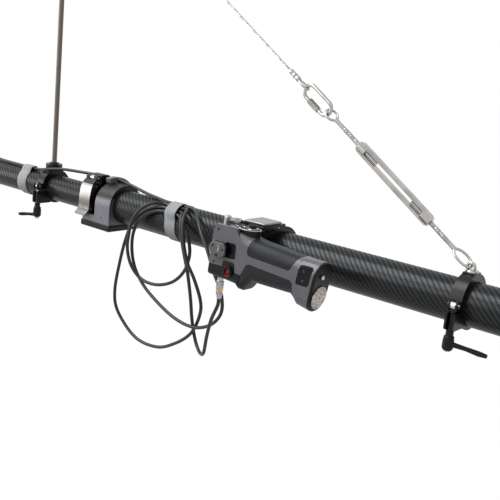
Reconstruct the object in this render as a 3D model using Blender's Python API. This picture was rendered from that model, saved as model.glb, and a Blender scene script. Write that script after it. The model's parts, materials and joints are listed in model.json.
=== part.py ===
"""A stayed carbon camera boom: two telescoping tubes on a saddle, a mast, a wire stay and a control grip.

Metres, +Z up. The origin is the middle of the saddle's flat base, and the boom runs along X.
Places along the boom are measured from the origin, and heights on the boom from the tube axis.
"""

import math

import bmesh
import bpy
from mathutils import Vector

# Boom tubes
CLEARANCE = 0.0003
MAIN_RADIUS = 0.025
MAIN_WALL = 0.002
MAIN_REAR_X = -0.037
MAIN_FRONT_X = 0.860
BUSH_WALL = 0.0019
REAR_RADIUS = MAIN_RADIUS - MAIN_WALL - BUSH_WALL - 2 * CLEARANCE
REAR_WALL = 0.0018
REAR_INNER_X = 0.120
REAR_END_X = -0.420
BUSH_LENGTH = 0.030
BUSH_LIP = 0.003
PLUG_SPIGOT = 0.020
PLUG_FLANGE = 0.006
PLUG_PROUD = 0.0006
TUBE_SLIT = 0.002
CUT_PAST = 0.1

# Saddle
SADDLE_X = 0.01475
SADDLE_LENGTH = 0.0325
SADDLE_WALL = 0.0072
SADDLE_HALF_WIDTH = MAIN_RADIUS + SADDLE_WALL
SADDLE_FLOOR = 0.0015
SADDLE_DROP = MAIN_RADIUS + SADDLE_FLOOR
SADDLE_CREST_RISE = 0.0088
SADDLE_CREST_LENGTH = 0.0095
SADDLE_CREST_ANGLES = (-62.0, 20.0)
SADDLE_SLOT_Y = 0.006
SADDLE_SLOT = 0.0070
SADDLE_FOOT_X = -0.028
SADDLE_FOOT_RISE = 0.0095
SADDLE_EDGE = 0.0012
BASE_LENGTH = 0.064
BASE_EDGE = 0.002
BASE_THICKNESS = 0.0092
AXIS_HEIGHT = SADDLE_DROP + CLEARANCE + BASE_THICKNESS

# Latch that grips the rear tube
LATCH_X = -0.02475
LATCH_WIDTH = 0.0245
LATCH_WALL = 0.0048
LATCH_EAR_RISE = 0.016
LATCH_EAR_TOP = MAIN_RADIUS + LATCH_EAR_RISE
LATCH_NEAR_EAR = (-0.0122, -0.0075)
LATCH_FAR_EAR = (-0.0055, 0.0046)
LATCH_PIN_RADIUS = 0.0020
LATCH_CAM_RADIUS = 0.0045
LATCH_EAR_CORNERS = (0.003, 0.004)
LATCH_FOOT_CORNER = 0.001
LATCH_PIN_RISE = 0.011
LATCH_PIN_HEIGHT = MAIN_RADIUS + LATCH_PIN_RISE
LATCH_BARREL_Y = -0.0002
LATCH_BARREL_RADIUS = 0.0031
LATCH_BOLT_RADIUS = 0.0022
LATCH_EYE_WIDTH = 0.008
LATCH_EYE_RADIUS = 0.0040
LEVER_PLATE = 0.0024
LEVER_POINTS = 17
LEVER_PATH = [
    (34.9, 0.0092), (46.2, 0.0082), (61.0, 0.0049), (79.4, 0.0027), (98.8, 0.0028), (108.8, 0.0055),
    (114.6, 0.0144),
]

# Split clamps with a swing bolt and a turning handle: one carries the stay, one carries the mast
CLAMP_EAR_OUT = 0.0175
CLAMP_BOLT_OUT = 0.0116
STAY_CLAMP_X = 0.5818
STAY_CLAMP_WIDTH = 0.0145
STAY_BOLT_SHIFT = 0.0020
STAY_BOLT_X = STAY_CLAMP_X + STAY_BOLT_SHIFT
STAY_EAR_REACH = MAIN_RADIUS + CLAMP_EAR_OUT
STAY_BOLT_Y = -MAIN_RADIUS - CLAMP_BOLT_OUT
MAST_CLAMP_X = -0.1435
MAST_CLAMP_WIDTH = 0.016
MAST_BOLT_SHIFT = 0.0035
MAST_BOLT_X = MAST_CLAMP_X + MAST_BOLT_SHIFT
MAST_EAR_REACH = REAR_RADIUS + CLAMP_EAR_OUT
MAST_BOLT_Y = -REAR_RADIUS - CLAMP_BOLT_OUT
CLAMP_WALL = 0.0065
CLAMP_LIFT = 0.0024
CLAMP_EAR_WIDTH = 0.0115
CLAMP_SPLIT = 0.003
CLAMP_SPLIT_Z = -0.003
CLAMP_EAR_TOP = 0.0080
CLAMP_EAR_BOTTOM = -0.0235
CLAMP_EAR_CORNER = 0.003
CLAMP_PAD_WIDTH = 0.016
CLAMP_PAD_RISE = 0.0006
STUD_RADIUS = 0.003
STUD_EYE_RADIUS = 0.0042
STUD_EYE_WIDTH = 0.0060
STUD_PIN_RADIUS = 0.0021
STUD_PIN_PROUD = 0.0006
STUD_PIN_Z = 0.0033
HANDLE_TOP = CLAMP_EAR_BOTTOM - CLEARANCE
HANDLE_HUB_RADIUS = 0.0062
HANDLE_HUB_HEIGHT = 0.0165
HANDLE_NECK_RADIUS = 0.0043
HANDLE_NECK_HEIGHT = 0.0057
HANDLE_BORE_DEPTH = 0.011
HANDLE_ARM = 0.0052
HANDLE_TIP = 0.0038
STAY_HANDLE_TURN = 5.0
STAY_HANDLE_REACH = 0.043
STAY_HANDLE_LEVEL = 0.55
MAST_HANDLE_TURN = 208.0
MAST_HANDLE_REACH = 0.031
MAST_HANDLE_LEVEL = 0.82

# Mast and stay
MAST_RADIUS = 0.0039
MAST_TOP = 0.5280
MAST_FLANGE_RADIUS = 0.013
MAST_FLANGE_HEIGHT = 0.0075
MAST_SOCKET_RADIUS = 0.0075
MAST_SOCKET_HEIGHT = 0.0022
MAST_HEAD_RADIUS = 0.0065
MAST_HEAD_HEIGHT = 0.016
PAD_EYE_SHIFT = -0.0018
PAD_EYE_X = STAY_CLAMP_X + PAD_EYE_SHIFT
PAD_EYE_HEIGHT = 0.0050
PAD_EYE_WIRE = 0.0020
PAD_EYE_RADIUS = 0.0045
PAD_EYE_BASE_RADIUS = 0.0075
PAD_EYE_BASE = 0.002
EYE_WIRE = 0.0020
EYE_LENGTH = 0.0262
EYE_WIDTH = 0.0122
TURNBUCKLE_START = 0.067
TURNBUCKLE_LENGTH = 0.126
TURNBUCKLE_WIDTH = 0.0135
TURNBUCKLE_DEPTH = 0.0068
TURNBUCKLE_CORNER = 0.004
TURNBUCKLE_SLOT = 0.0062
TURNBUCKLE_BOSS = 0.013
TURNBUCKLE_BOSS_RADIUS = 0.0058
THREAD_RADIUS = 0.0026
THREAD_ENTRY = 0.032
UPPER_EYE_AT = 0.241
LINK_LENGTH = 0.0462
LINK_WIDTH = 0.0172
LINK_WIRE = 0.0024
LINK_GAP = 0.008
SLEEVE_LENGTH = 0.017
SLEEVE_RADIUS = 0.0044
WIRE_RADIUS = 0.0013
FERRULE_RADIUS = 0.0034
FERRULE_LENGTH = 0.018
WIRE_EYE_LENGTH = 0.018
WIRE_EYE_WIDTH = 0.0088
HEAD_LUG_RADIUS = 0.0045
HEAD_LUG_WIRE = 0.0018
HEAD_LUG_OUT = 0.012
HEAD_LUG_DROP = 0.0028
STAY_PAD_TOP = CLAMP_LIFT + MAIN_RADIUS + CLAMP_WALL + CLAMP_PAD_RISE
STAY_LOW = (PAD_EYE_X, STAY_PAD_TOP + CLEARANCE + PAD_EYE_HEIGHT)
STAY_HIGH = (MAST_CLAMP_X + HEAD_LUG_OUT, MAST_TOP - HEAD_LUG_DROP)
STAY_RUN = math.dist(STAY_LOW, STAY_HIGH)
STAY_ANGLE = math.degrees(math.atan2(STAY_HIGH[1] - STAY_LOW[1], STAY_LOW[0] - STAY_HIGH[0]))

# Straps
RIGHT_STRAP_X = 0.149
RIGHT_STRAP_WIDTH = 0.020
LEFT_STRAP_X = -0.1995
LEFT_STRAP_WIDTH = 0.023
STRAP_THICKNESS = 0.0013
BUNDLE_ANGLE = 38.0
BUNDLE_SPREAD = 30.0
BUNDLE_RISE = 0.0064
SINGLE_ANGLE = 14.0
SINGLE_SPREAD = 19.0
SINGLE_RISE = 0.0056

# Clamp and arm that carry the grip
GRIP_CLAMP_X = 0.311
GRIP_CLAMP_LENGTH = 0.034
GRIP_CLAMP_WALL = 0.0068
GRIP_CLAMP_TOP = 0.0355
GRIP_CLAMP_REACH = 0.046
GRIP_CLAMP_BOTTOM = 0.006
GRIP_CLAMP_CORNERS = (0.004, 0.001, 0.001, 0.0015)
CABLE_ENTRY = 0.010
GRIP_CAP_LENGTH = 0.032
GRIP_CAP_Y = (-0.043, -0.007)
GRIP_CAP_THICKNESS = 0.0028
GRIP_ARM_RADIUS = 0.0115
GRIP_ARM_Z = 0.019

# Control grip: sections along X, each with its top, bottom, half width and corner radius
GRIP_Y = -0.075
HEAD_LEAN = 0.08
GRIP_LEAN = 0.16
GRIP_SHELL = 0.0022
GRIP_FACE = 0.017
GRIP_STATIONS = [
    (0.2855, 0.0310, -0.0260, 0.0155, 0.0035),
    (0.2873, 0.0327, -0.0277, GRIP_FACE, 0.0045),
    (0.3180, 0.0335, -0.0295, GRIP_FACE, 0.0055),
    (0.3300, 0.0312, -0.0312, GRIP_FACE, 0.0080),
    (0.3355, 0.0297, -0.0365, GRIP_FACE, 0.0100),
    (0.3410, 0.0285, -0.0368, GRIP_FACE, 0.0110),
    (0.3500, 0.0272, -0.0238, GRIP_FACE, 0.0125),
    (0.4110, 0.0222, -0.0228, GRIP_FACE, 0.0125),
    (0.4160, 0.0220, -0.0270, GRIP_FACE, 0.0130),
    (0.4220, 0.0220, -0.0338, GRIP_FACE, 0.0145),
    (0.4390, 0.0220, -0.0375, GRIP_FACE, 0.0160),
]
GRIP_SEAM_Y = -0.079
GRIP_SEAM = 0.0004
UPPER_PAD = [(0.351, 0.050, 0.002), (0.3425, 0.0090, 0.005), (0.4065, 0.0058, 0.005), (0.427, 0.050, 0.002)]
LOWER_PAD = [
    (0.3290, -0.050, 0.002), (0.3372, -0.0160, 0.001), (0.3450, -0.0015, 0.006), (0.4115, -0.0055, 0.005),
    (0.4185, -0.050, 0.002),
]
HEAD_BASE = [
    (0.260, -0.060, 0.002), (0.3258, -0.060, 0.002), (0.3362, -0.0170, 0.001), (0.3265, -0.0172, 0.002),
    (0.3262, -0.0050, 0.004), (0.3085, -0.0055, 0.003), (0.3070, -0.0132, 0.001), (0.260, -0.0140, 0.002),
]
BROW = [(0.2897, 0.024, 0.001), (0.2912, 0.0372, 0.003), (0.3235, 0.0376, 0.004), (0.3330, 0.024, 0.001)]
BROW_THICKNESS = 0.0048
GRIP_LEAST_CORNER = 0.001
RAIL_CENTRE = (0.3020, 0.0080)
RAIL_SIZE = (0.0250, 0.0175)
RAIL_CORNER = 0.004
RAIL_THICKNESS = 0.006
RECESS_CENTRE = (0.3178, 0.0088)
RECESS_SIZE = (0.0170, 0.0192)
RECESS_CORNER = 0.003
WINDOW_CENTRE = (0.4266, 0.0045)
WINDOW_SIZE = (0.0172, 0.0225)
WINDOW_CORNER = 0.003
WINDOW_THICKNESS = 0.0014
WINDOW_SUNK = 0.0004
END_PLATE = 0.0032
END_DISC_RADIUS = 0.0140
END_DISC_Z = -0.0200
END_DISC_THICKNESS = 0.0012
END_STUD_RADIUS = 0.0026
END_STUD_LENGTH = 0.004
END_STUD_Z = 0.006
END_STUD_Y = -0.081
CONTROL_X = 0.3275
CONTROL_HALF_LENGTH = 0.019
CONTROL_HALF_WIDTH = 0.0115
CONTROL_TOP = 0.0372
BUTTON_RADIUS = 0.0026
BUTTON_RISE = 0.0016
BUTTON_WELL = 0.0030
BUTTON_TRAVEL = 0.0010
BUTTON_PLACES = [(-0.0135, 0.0), (-0.0065, 0.0042), (-0.0065, -0.0042)]
STICK_PLACE = (0.0075, 0.0)
STICK_RADIUS = 0.0052
STICK_RISE = 0.0052
STICK_NECK = 0.0022
STICK_CAP = 0.0034
STICK_ROOM = 0.0011
STICK_DEPTH = 0.0034
STICK_PIVOT = 0.0018
SOCKET_PLACE = (0.3185, -0.0165)
SOCKET_RADIUS = 0.0066
SOCKET_BORE = 0.0044
SOCKET_PROUD = 0.003
PLUG_PLACE = (0.2925, -0.075)
PLUG_RADIUS = 0.0046
PLUG_LENGTH = 0.028
PLUG_BASE_RADIUS = 0.0062
PLUG_BASE = 0.003
PLUG_SOCKET_Z = -0.029
ANGLE_PLUG_PLACE = (0.2900, -0.069)
ANGLE_PLUG_Z = 0.0337
ANGLE_PLUG_RADIUS = 0.0046
ANGLE_PLUG_HEIGHT = 0.011
ANGLE_PLUG_REACH = 0.017
ANGLE_PLUG_TURN = 29.0
REAR_CONNECTOR_X = -0.331
REAR_CONNECTOR_LENGTH = 0.026
REAR_CONNECTOR_RADIUS = 0.0065
REAR_CONNECTOR_RISE = 0.0062

# Cables
CABLE_RADIUS = 0.00235
THIN_CABLE_RADIUS = 0.0019
STRAND_ANGLES = (20.0, 32.0, 44.0, 56.0)
STRAND_RADIUS = MAIN_RADIUS + 0.0004 + CABLE_RADIUS
STRAND_STRAIGHT = 0.013
LOOP_POINTS = 104
RUN_POINTS = 48
ANGLE_CABLE_POINTS = 14
ANGLE_CABLE_ROUTE = [(0.3115, -0.0570, 0.0388), (0.3165, -0.0525, 0.0362), (0.3180, -0.0485, 0.0332),
                     (0.3180, -0.0462, 0.0326), (0.3180, -0.0420, 0.0326)]
BOOM_RUN = [
    (-0.312, -0.001, 0.0255), (-0.285, -0.004, 0.0233), (-0.225, -0.005, 0.0228), (-0.1995, -0.005, 0.0228),
    (-0.176, -0.007, 0.0238), (-0.150, -0.0165, 0.0278), (-0.113, -0.010, 0.0340), (-0.072, 0.0008, 0.0352),
    (-0.046, 0.0072, 0.0352), (-0.025, 0.0082, 0.0352), (-0.012, 0.0077, 0.0354), (0.003, 0.0061, 0.0356),
    (0.017, 0.0035, 0.0356), (0.031, 0.0012, 0.0350), (0.0565, 0.0002, 0.0313), (0.078, -0.002, 0.0285),
    (0.105, -0.006, 0.0270), (0.122, -0.009, 0.0263),
]
LONG_LOOP = [
    (0.176, -0.0110, 0.0260), (0.191, -0.0190, 0.0228), (0.206, -0.0300, 0.0160), (0.221, -0.0390, 0.0050),
    (0.239, -0.045, -0.012), (0.260, -0.050, -0.040), (0.276, -0.052, -0.061), (0.280, -0.052, -0.085),
    (0.268, -0.051, -0.104), (0.247, -0.050, -0.117), (0.225, -0.049, -0.122), (0.192, -0.046, -0.120),
    (0.152, -0.043, -0.107), (0.117, -0.039, -0.090), (0.095, -0.036, -0.068), (0.087, -0.035, -0.041),
    (0.089, -0.034, -0.019), (0.099, -0.032, -0.001), (0.118, -0.0258, 0.0125),
]
SHORT_LOOP = [
    (0.176, -0.0290, 0.0090), (0.191, -0.033, -0.005), (0.199, -0.034, -0.024), (0.198, -0.034, -0.040),
    (0.191, -0.035, -0.058), (0.174, -0.037, -0.075), (0.147, -0.041, -0.085), (0.118, -0.043, -0.083),
    (0.099, -0.045, -0.068), (0.089, -0.045, -0.046), (0.090, -0.045, -0.024), (0.095, -0.0435, -0.001),
    (0.104, -0.0360, 0.0160), (0.116, -0.0240, 0.0242), (0.126, -0.0150, 0.0241),
]
LOW_LOOP = [
    (0.171, -0.0170, 0.0248), (0.180, -0.0285, 0.0230), (0.188, -0.0405, 0.0140), (0.195, -0.0457, -0.0020),
    (0.200, -0.046, -0.020), (0.208, -0.046, -0.039), (0.222, -0.046, -0.057), (0.236, -0.045, -0.084),
    (0.237, -0.044, -0.099), (0.228, -0.044, -0.126), (0.217, -0.044, -0.140), (0.196, -0.044, -0.156),
    (0.163, -0.043, -0.172), (0.121, -0.043, -0.173), (0.088, -0.041, -0.158), (0.067, -0.040, -0.137),
    (0.063, -0.040, -0.115), (0.070, -0.040, -0.069), (0.080, -0.040, -0.031), (0.088, -0.037, -0.008),
    (0.100, -0.0297, 0.0090), (0.118, -0.0213, 0.0183),
]
DROP = [
    (0.168, -0.0222, 0.0198), (0.176, -0.0315, 0.0160), (0.183, -0.0385, 0.0050), (0.189, -0.0405, -0.0120),
    (0.195, -0.040, -0.031), (0.202, -0.039, -0.051), (0.211, -0.038, -0.086), (0.219, -0.038, -0.122),
    (0.232, -0.041, -0.147), (0.247, -0.048, -0.154), (0.259, -0.056, -0.148), (0.270, -0.065, -0.119),
    (0.281, -0.072, -0.092),
]

# Facets
ROUND = 36
SMALL_ROUND = 16
WIRE_SIDES = 8
ARC_STEPS = 5
MEDIUM_ROUND = 28
HEX = 6
ARCH_STEPS = 20
STRAP_STEPS = 60
PLATE_STEPS = 32
CURVE_STEPS = 12

ALONG_X = (math.pi / 2, 0, math.pi / 2)
ALONG_MINUS_X = (math.pi / 2, 0, -math.pi / 2)
ALONG_MINUS_Y = (math.pi / 2, 0, 0)
DOWN = (math.pi, 0, 0)
UPRIGHT = (0, 0, 0)


# Materials


def material(name, colour, roughness, metallic=0.0):
    made = bpy.data.materials.new(name)
    made.use_nodes = True
    shader = made.node_tree.nodes["Principled BSDF"]
    shader.inputs["Base Color"].default_value = (*colour, 1)
    shader.inputs["Roughness"].default_value = roughness
    shader.inputs["Metallic"].default_value = metallic
    return made


# Building blocks


def clear_scene():
    for obj in list(bpy.data.objects):
        bpy.data.objects.remove(obj, do_unlink=True)


def empty(name, location, rotation=UPRIGHT, parent=None):
    made = bpy.data.objects.new(name, None)
    made.location = location
    made.rotation_euler = rotation
    made.parent = parent
    bpy.context.scene.collection.objects.link(made)
    return made


def solid(name, mesh_data, finish, parent, location=(0, 0, 0), rotation=UPRIGHT):
    """An object from a bmesh: closed, facing out, shaded smooth except at its edges."""
    bmesh.ops.recalc_face_normals(mesh_data, faces=mesh_data.faces)
    mesh = bpy.data.meshes.new(name)
    mesh_data.to_mesh(mesh)
    mesh_data.free()
    if finish:
        mesh.materials.append(finish)
    mesh.shade_smooth()
    mesh.set_sharp_from_angle(angle=math.radians(35))
    made = bpy.data.objects.new(name, mesh)
    made.location = location
    made.rotation_euler = rotation
    made.parent = parent
    bpy.context.scene.collection.objects.link(made)
    return made


def skin(rings, closed_path):
    """A bmesh through rings of points: side faces between neighbours, and end caps unless the path closes."""
    mesh_data = bmesh.new()
    rows = [[mesh_data.verts.new(point) for point in ring] for ring in rings]
    pairs = list(zip(rows, rows[1:]))
    if closed_path:
        pairs.append((rows[-1], rows[0]))
    for low, high in pairs:
        for i in range(len(low)):
            j = (i + 1) % len(low)
            mesh_data.faces.new((low[i], low[j], high[j], high[i]))
    if not closed_path:
        mesh_data.faces.new(rows[0][::-1])
        mesh_data.faces.new(rows[-1])
    return mesh_data


def circle(radius, count, height=0.0):
    turns = [2 * math.pi * i / count for i in range(count)]
    return [(radius * math.cos(a), radius * math.sin(a), height) for a in turns]


def turned(name, profile, finish, parent, location=(0, 0, 0), rotation=UPRIGHT, count=ROUND, hollow=False):
    """A piece from the lathe: (radius, height) points about local Z. A hollow profile closes on itself."""
    rings = [circle(radius, count, height) for radius, height in profile]
    return solid(name, skin(rings, hollow), finish, parent, location, rotation)


def prism(name, outline, depth, finish, parent, location=(0, 0, 0), rotation=UPRIGHT, start=0.0):
    """An outline in local XY, drawn out along local Z."""
    rings = [[(x, y, start + h) for x, y in outline] for h in (0.0, depth)]
    return solid(name, skin(rings, False), finish, parent, location, rotation)


def box(name, low, high, finish, parent, location=(0, 0, 0), rotation=UPRIGHT):
    outline = [(low[0], low[1]), (high[0], low[1]), (high[0], high[1]), (low[0], high[1])]
    return prism(name, outline, high[2] - low[2], finish, parent, location, rotation, start=low[2])


def rounded(corners, steps=ARC_STEPS):
    """An outline whose corners (x, y, radius) are replaced by arcs."""
    points = []
    for i, (x, y, radius) in enumerate(corners):
        here = Vector((x, y))
        before = (Vector(corners[i - 1][:2]) - here).normalized()
        after = (Vector(corners[(i + 1) % len(corners)][:2]) - here).normalized()
        half = before.angle(after) / 2
        middle = here + (before + after).normalized() * radius / math.sin(half)
        first = here + before * radius / math.tan(half) - middle
        last = here + after * radius / math.tan(half) - middle
        for k in range(steps + 1):
            spoke = first.lerp(last, k / steps).normalized() * radius
            points.append((middle.x + spoke.x, middle.y + spoke.y))
    return points


def rectangle(centre, size, corner, steps=ARC_STEPS):
    x, y = centre
    half_x, half_y = size[0] / 2, size[1] / 2
    corners = [(x + sx * half_x, y + sy * half_y, corner) for sx, sy in ((-1, -1), (1, -1), (1, 1), (-1, 1))]
    return rounded(corners, steps)


def hide(obj):
    obj.hide_render = True
    obj.display_type = "WIRE"


def combine(target, other, operation):
    change = target.modifiers.new(operation.lower(), "BOOLEAN")
    change.operation = operation
    change.object = other
    hide(other)


def cut(target, *cutters):
    for cutter in cutters:
        combine(target, cutter, "DIFFERENCE")


def join(target, *others):
    for other in others:
        combine(target, other, "UNION")


def soften(target, width, segments=2):
    edge = target.modifiers.new("edges", "BEVEL")
    edge.width = width
    edge.segments = segments
    edge.limit_method = "ANGLE"
    edge.angle_limit = math.radians(40)


def rod(name, radius, length, finish, parent, location=(0, 0, 0), rotation=UPRIGHT, count=SMALL_ROUND):
    return turned(name, [(radius, 0), (radius, length)], finish, parent, location, rotation, count)


def link_path(length, width, steps=6):
    """A closed path of two straight bars and two half circles in local XZ, long along Z."""
    radius = width / 2
    straight = length / 2 - radius
    path = []
    for end in (1, -1):
        for k in range(steps + 1):
            a = math.pi * k / steps
            path.append(Vector((end * radius * math.cos(a), 0, end * (straight + radius * math.sin(a)))))
    return path


def loop_of_wire(name, path, radius, finish, parent, location=(0, 0, 0), rotation=UPRIGHT):
    """A closed loop of round wire along a path in local XZ."""
    rings = []
    for i, point in enumerate(path):
        along = (path[(i + 1) % len(path)] - path[i - 1]).normalized()
        across = along.cross(Vector((0, 1, 0)))
        ring = []
        for k in range(WIRE_SIDES):
            a = 2 * math.pi * k / WIRE_SIDES
            ring.append(point + across * radius * math.cos(a) + Vector((0, radius * math.sin(a), 0)))
        rings.append(ring)
    return solid(name, skin(rings, True), finish, parent, location, rotation)


def smooth_curve(route, count):
    """Evenly spaced points on a smooth curve that passes through every point of the route."""
    points = [Vector(p) for p in route]
    ends = [2 * points[0] - points[1], *points, 2 * points[-1] - points[-2]]
    fine = []
    for i in range(1, len(ends) - 2):
        p0, p1, p2, p3 = ends[i - 1 : i + 3]
        knots = [0.0]
        for a, b in ((p0, p1), (p1, p2), (p2, p3)):
            knots.append(knots[-1] + math.sqrt((b - a).length))
        t0, t1, t2, t3 = knots
        for k in range(CURVE_STEPS):
            t = t1 + (t2 - t1) * k / CURVE_STEPS
            a1 = p0.lerp(p1, (t - t0) / (t1 - t0))
            a2 = p1.lerp(p2, (t - t1) / (t2 - t1))
            a3 = p2.lerp(p3, (t - t2) / (t3 - t2))
            b1 = a1.lerp(a2, (t - t0) / (t2 - t0))
            b2 = a2.lerp(a3, (t - t1) / (t3 - t1))
            fine.append(b1.lerp(b2, (t - t1) / (t2 - t1)))
    fine.append(points[-1])
    reach = [0.0]
    for a, b in zip(fine, fine[1:]):
        reach.append(reach[-1] + (b - a).length)
    spaced = []
    i = 0
    for k in range(count):
        target = reach[-1] * k / (count - 1)
        while i < len(fine) - 2 and reach[i + 1] < target:
            i += 1
        share = (target - reach[i]) / (reach[i + 1] - reach[i])
        spaced.append(fine[i].lerp(fine[i + 1], share))
    return spaced, reach[-1]


def cable(name, route, radius, count, sides, finish, parent):
    """A cable: a polyline tube along a smooth curve, whose first and last stretches stay straight."""
    points, length = smooth_curve(route, count)
    step = length / (count - 1)
    if (Vector(route[1]) - points[0]).length < step:
        points.insert(1, Vector(route[1]))
    if (Vector(route[-2]) - points[-1]).length < step:
        points.insert(-1, Vector(route[-2]))
    data = bpy.data.curves.new(name, "CURVE")
    data.dimensions = "3D"
    data.bevel_depth = radius
    data.bevel_resolution = sides
    data.use_fill_caps = True
    spline = data.splines.new("POLY")
    spline.points.add(len(points) - 1)
    for spot, point in zip(spline.points, points):
        spot.co = (*point, 1)
    data.materials.append(finish)
    made = bpy.data.objects.new(name, data)
    made.parent = parent
    bpy.context.scene.collection.objects.link(made)
    print(f"{name}: {length:.3f} m, least gap to itself {1000 * least_gap(points, radius):.2f} mm")
    return made


def least_gap(points, radius):
    """The least distance between two stretches of a tube that aren't neighbours, less its diameter."""
    apart = 8 * radius
    best = 1.0
    for i, (a, b) in enumerate(zip(points, points[1:])):
        reach = 0.0
        for c, d in list(zip(points, points[1:]))[i + 1 :]:
            reach += (d - c).length
            if reach > apart:
                best = min(best, segment_distance(a, b, c, d))
    return best - 2 * radius


def segment_distance(a, b, c, d):
    best = 1.0
    for k in range(7):
        p = a.lerp(b, k / 6)
        along = d - c
        share = min(1.0, max(0.0, (p - c).dot(along) / along.length_squared))
        best = min(best, (p - c.lerp(d, share)).length)
    return best


# Tubes


def build_tubes(boom, rear, finishes):
    main_bore = MAIN_RADIUS - MAIN_WALL
    length = MAIN_FRONT_X - MAIN_REAR_X
    wall = [(MAIN_RADIUS, 0), (MAIN_RADIUS, length), (main_bore, length), (main_bore, 0)]
    main = turned("main_tube", wall, finishes["carbon"], boom, (MAIN_REAR_X, 0, 0), ALONG_X, hollow=True)
    past = 2 * MAIN_RADIUS
    for k in range(2):
        slit = box(f"tube_slit_cutter_{k}", (-past, -TUBE_SLIT / 2, -LATCH_WIDTH),
                   (past, TUBE_SLIT / 2, LATCH_WIDTH), None, boom, (MAIN_REAR_X, 0, 0))
        slit.rotation_euler = (math.pi / 4 + k * math.pi / 2, math.pi / 2, 0)
        cut(main, slit)
    rear_bore = REAR_RADIUS - REAR_WALL
    length = REAR_INNER_X - REAR_END_X
    wall = [(REAR_RADIUS, 0), (REAR_RADIUS, length), (rear_bore, length), (rear_bore, 0)]
    turned("rear_tube", wall, finishes["carbon"], rear, (REAR_END_X, 0, 0), ALONG_X, hollow=True)

    bush_in = REAR_RADIUS + CLEARANCE
    bush_out = main_bore - CLEARANCE
    lip_end = -BUSH_LIP - CLEARANCE
    mouth = [(bush_in, BUSH_LENGTH), (bush_in, lip_end), (MAIN_RADIUS, lip_end), (MAIN_RADIUS, -CLEARANCE),
             (bush_out, -CLEARANCE), (bush_out, BUSH_LENGTH)]
    turned("mouth_bush", mouth, finishes["polymer"], boom, (MAIN_REAR_X, 0, 0), ALONG_X, hollow=True)
    sleeve = [(bush_in, 0), (bush_out, 0), (bush_out, BUSH_LENGTH), (bush_in, BUSH_LENGTH)]
    turned("inner_bush", sleeve, finishes["polymer"], rear, (REAR_INNER_X - BUSH_LENGTH, 0, 0), ALONG_X,
           hollow=True)

    black = finishes["black_metal"]
    end_plug("front_end_plug", MAIN_RADIUS, MAIN_WALL, (MAIN_FRONT_X, 0, 0), ALONG_X, boom, black)
    end_plug("rear_end_plug", REAR_RADIUS, REAR_WALL, (REAR_END_X, 0, 0), ALONG_MINUS_X, rear, black)


def end_plug(name, tube_radius, wall, location, rotation, parent, finish):
    spigot = tube_radius - wall - CLEARANCE
    flange = tube_radius + PLUG_PROUD
    edge = PLUG_FLANGE / 4
    profile = [(spigot, -PLUG_SPIGOT), (spigot, CLEARANCE), (flange, CLEARANCE), (flange, PLUG_FLANGE - edge),
               (flange - edge, PLUG_FLANGE)]
    turned(name, profile, finish, parent, location, rotation)


# Saddle and its base plate


def build_saddle(boom, finishes):
    rear_face = SADDLE_X - SADDLE_LENGTH / 2
    arch = [(-SADDLE_HALF_WIDTH, -SADDLE_DROP), (SADDLE_HALF_WIDTH, -SADDLE_DROP)]
    arch += [polar(SADDLE_HALF_WIDTH, 180.0 * k / ARCH_STEPS - 90) for k in range(ARCH_STEPS + 1)]
    place = (rear_face, 0, 0)
    block = prism("saddle_block", arch, SADDLE_LENGTH, finishes["grey_metal"], boom, place, ALONG_X)
    low, high = SADDLE_CREST_ANGLES
    outer = SADDLE_HALF_WIDTH + SADDLE_CREST_RISE
    turns = [low + (high - low) * k / ARCH_STEPS for k in range(ARCH_STEPS + 1)]
    crest_outline = [polar(outer, a) for a in turns] + [polar(MAIN_RADIUS, a) for a in turns[::-1]]
    crest = prism("saddle_crest", crest_outline, SADDLE_CREST_LENGTH, None, boom, place, ALONG_X)
    foot_length = SADDLE_X - SADDLE_FOOT_X
    foot = box("saddle_foot", (-SADDLE_HALF_WIDTH, -SADDLE_DROP, 0),
               (SADDLE_HALF_WIDTH, SADDLE_FOOT_RISE - SADDLE_DROP, foot_length),
               None, boom, (SADDLE_FOOT_X, 0, 0), ALONG_X)
    join(block, foot, crest)
    latch_room = latch_radius() + 2 * CLEARANCE
    behind = (rear_face - CUT_PAST, 0, 0)
    bore = rod("saddle_bore_cutter", MAIN_RADIUS + CLEARANCE, 2 * CUT_PAST, None, boom, behind, ALONG_X,
               ROUND)
    relief = rod("saddle_relief_cutter", latch_room, CUT_PAST, None, boom, behind, ALONG_X, ROUND)
    slot = box("saddle_slot_cutter", (SADDLE_SLOT_Y - SADDLE_SLOT / 2, SADDLE_HALF_WIDTH - CLEARANCE, 0),
               (SADDLE_SLOT_Y + SADDLE_SLOT / 2, 2 * outer, 2 * CUT_PAST), None, boom, behind, ALONG_X)
    cut(block, bore, relief, slot)
    soften(block, SADDLE_EDGE, 1)

    plate_top = -SADDLE_DROP - CLEARANCE
    half_length = BASE_LENGTH / 2
    plate = box("base_plate", (-half_length, -SADDLE_HALF_WIDTH, -AXIS_HEIGHT),
                (half_length, SADDLE_HALF_WIDTH, plate_top), finishes["black_metal"], boom)
    scoop = rod("base_scoop_cutter", latch_room, CUT_PAST, None, boom, behind, ALONG_X, ROUND)
    cut(plate, scoop)
    soften(plate, BASE_EDGE, 1)


# Latch: a split collar, its draw bolt and the lever that closes it


def latch_radius():
    return MAIN_RADIUS + CLEARANCE + LATCH_WALL


def latch_pin_y():
    return LATCH_NEAR_EAR[0] - LATCH_CAM_RADIUS - CLEARANCE


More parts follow.
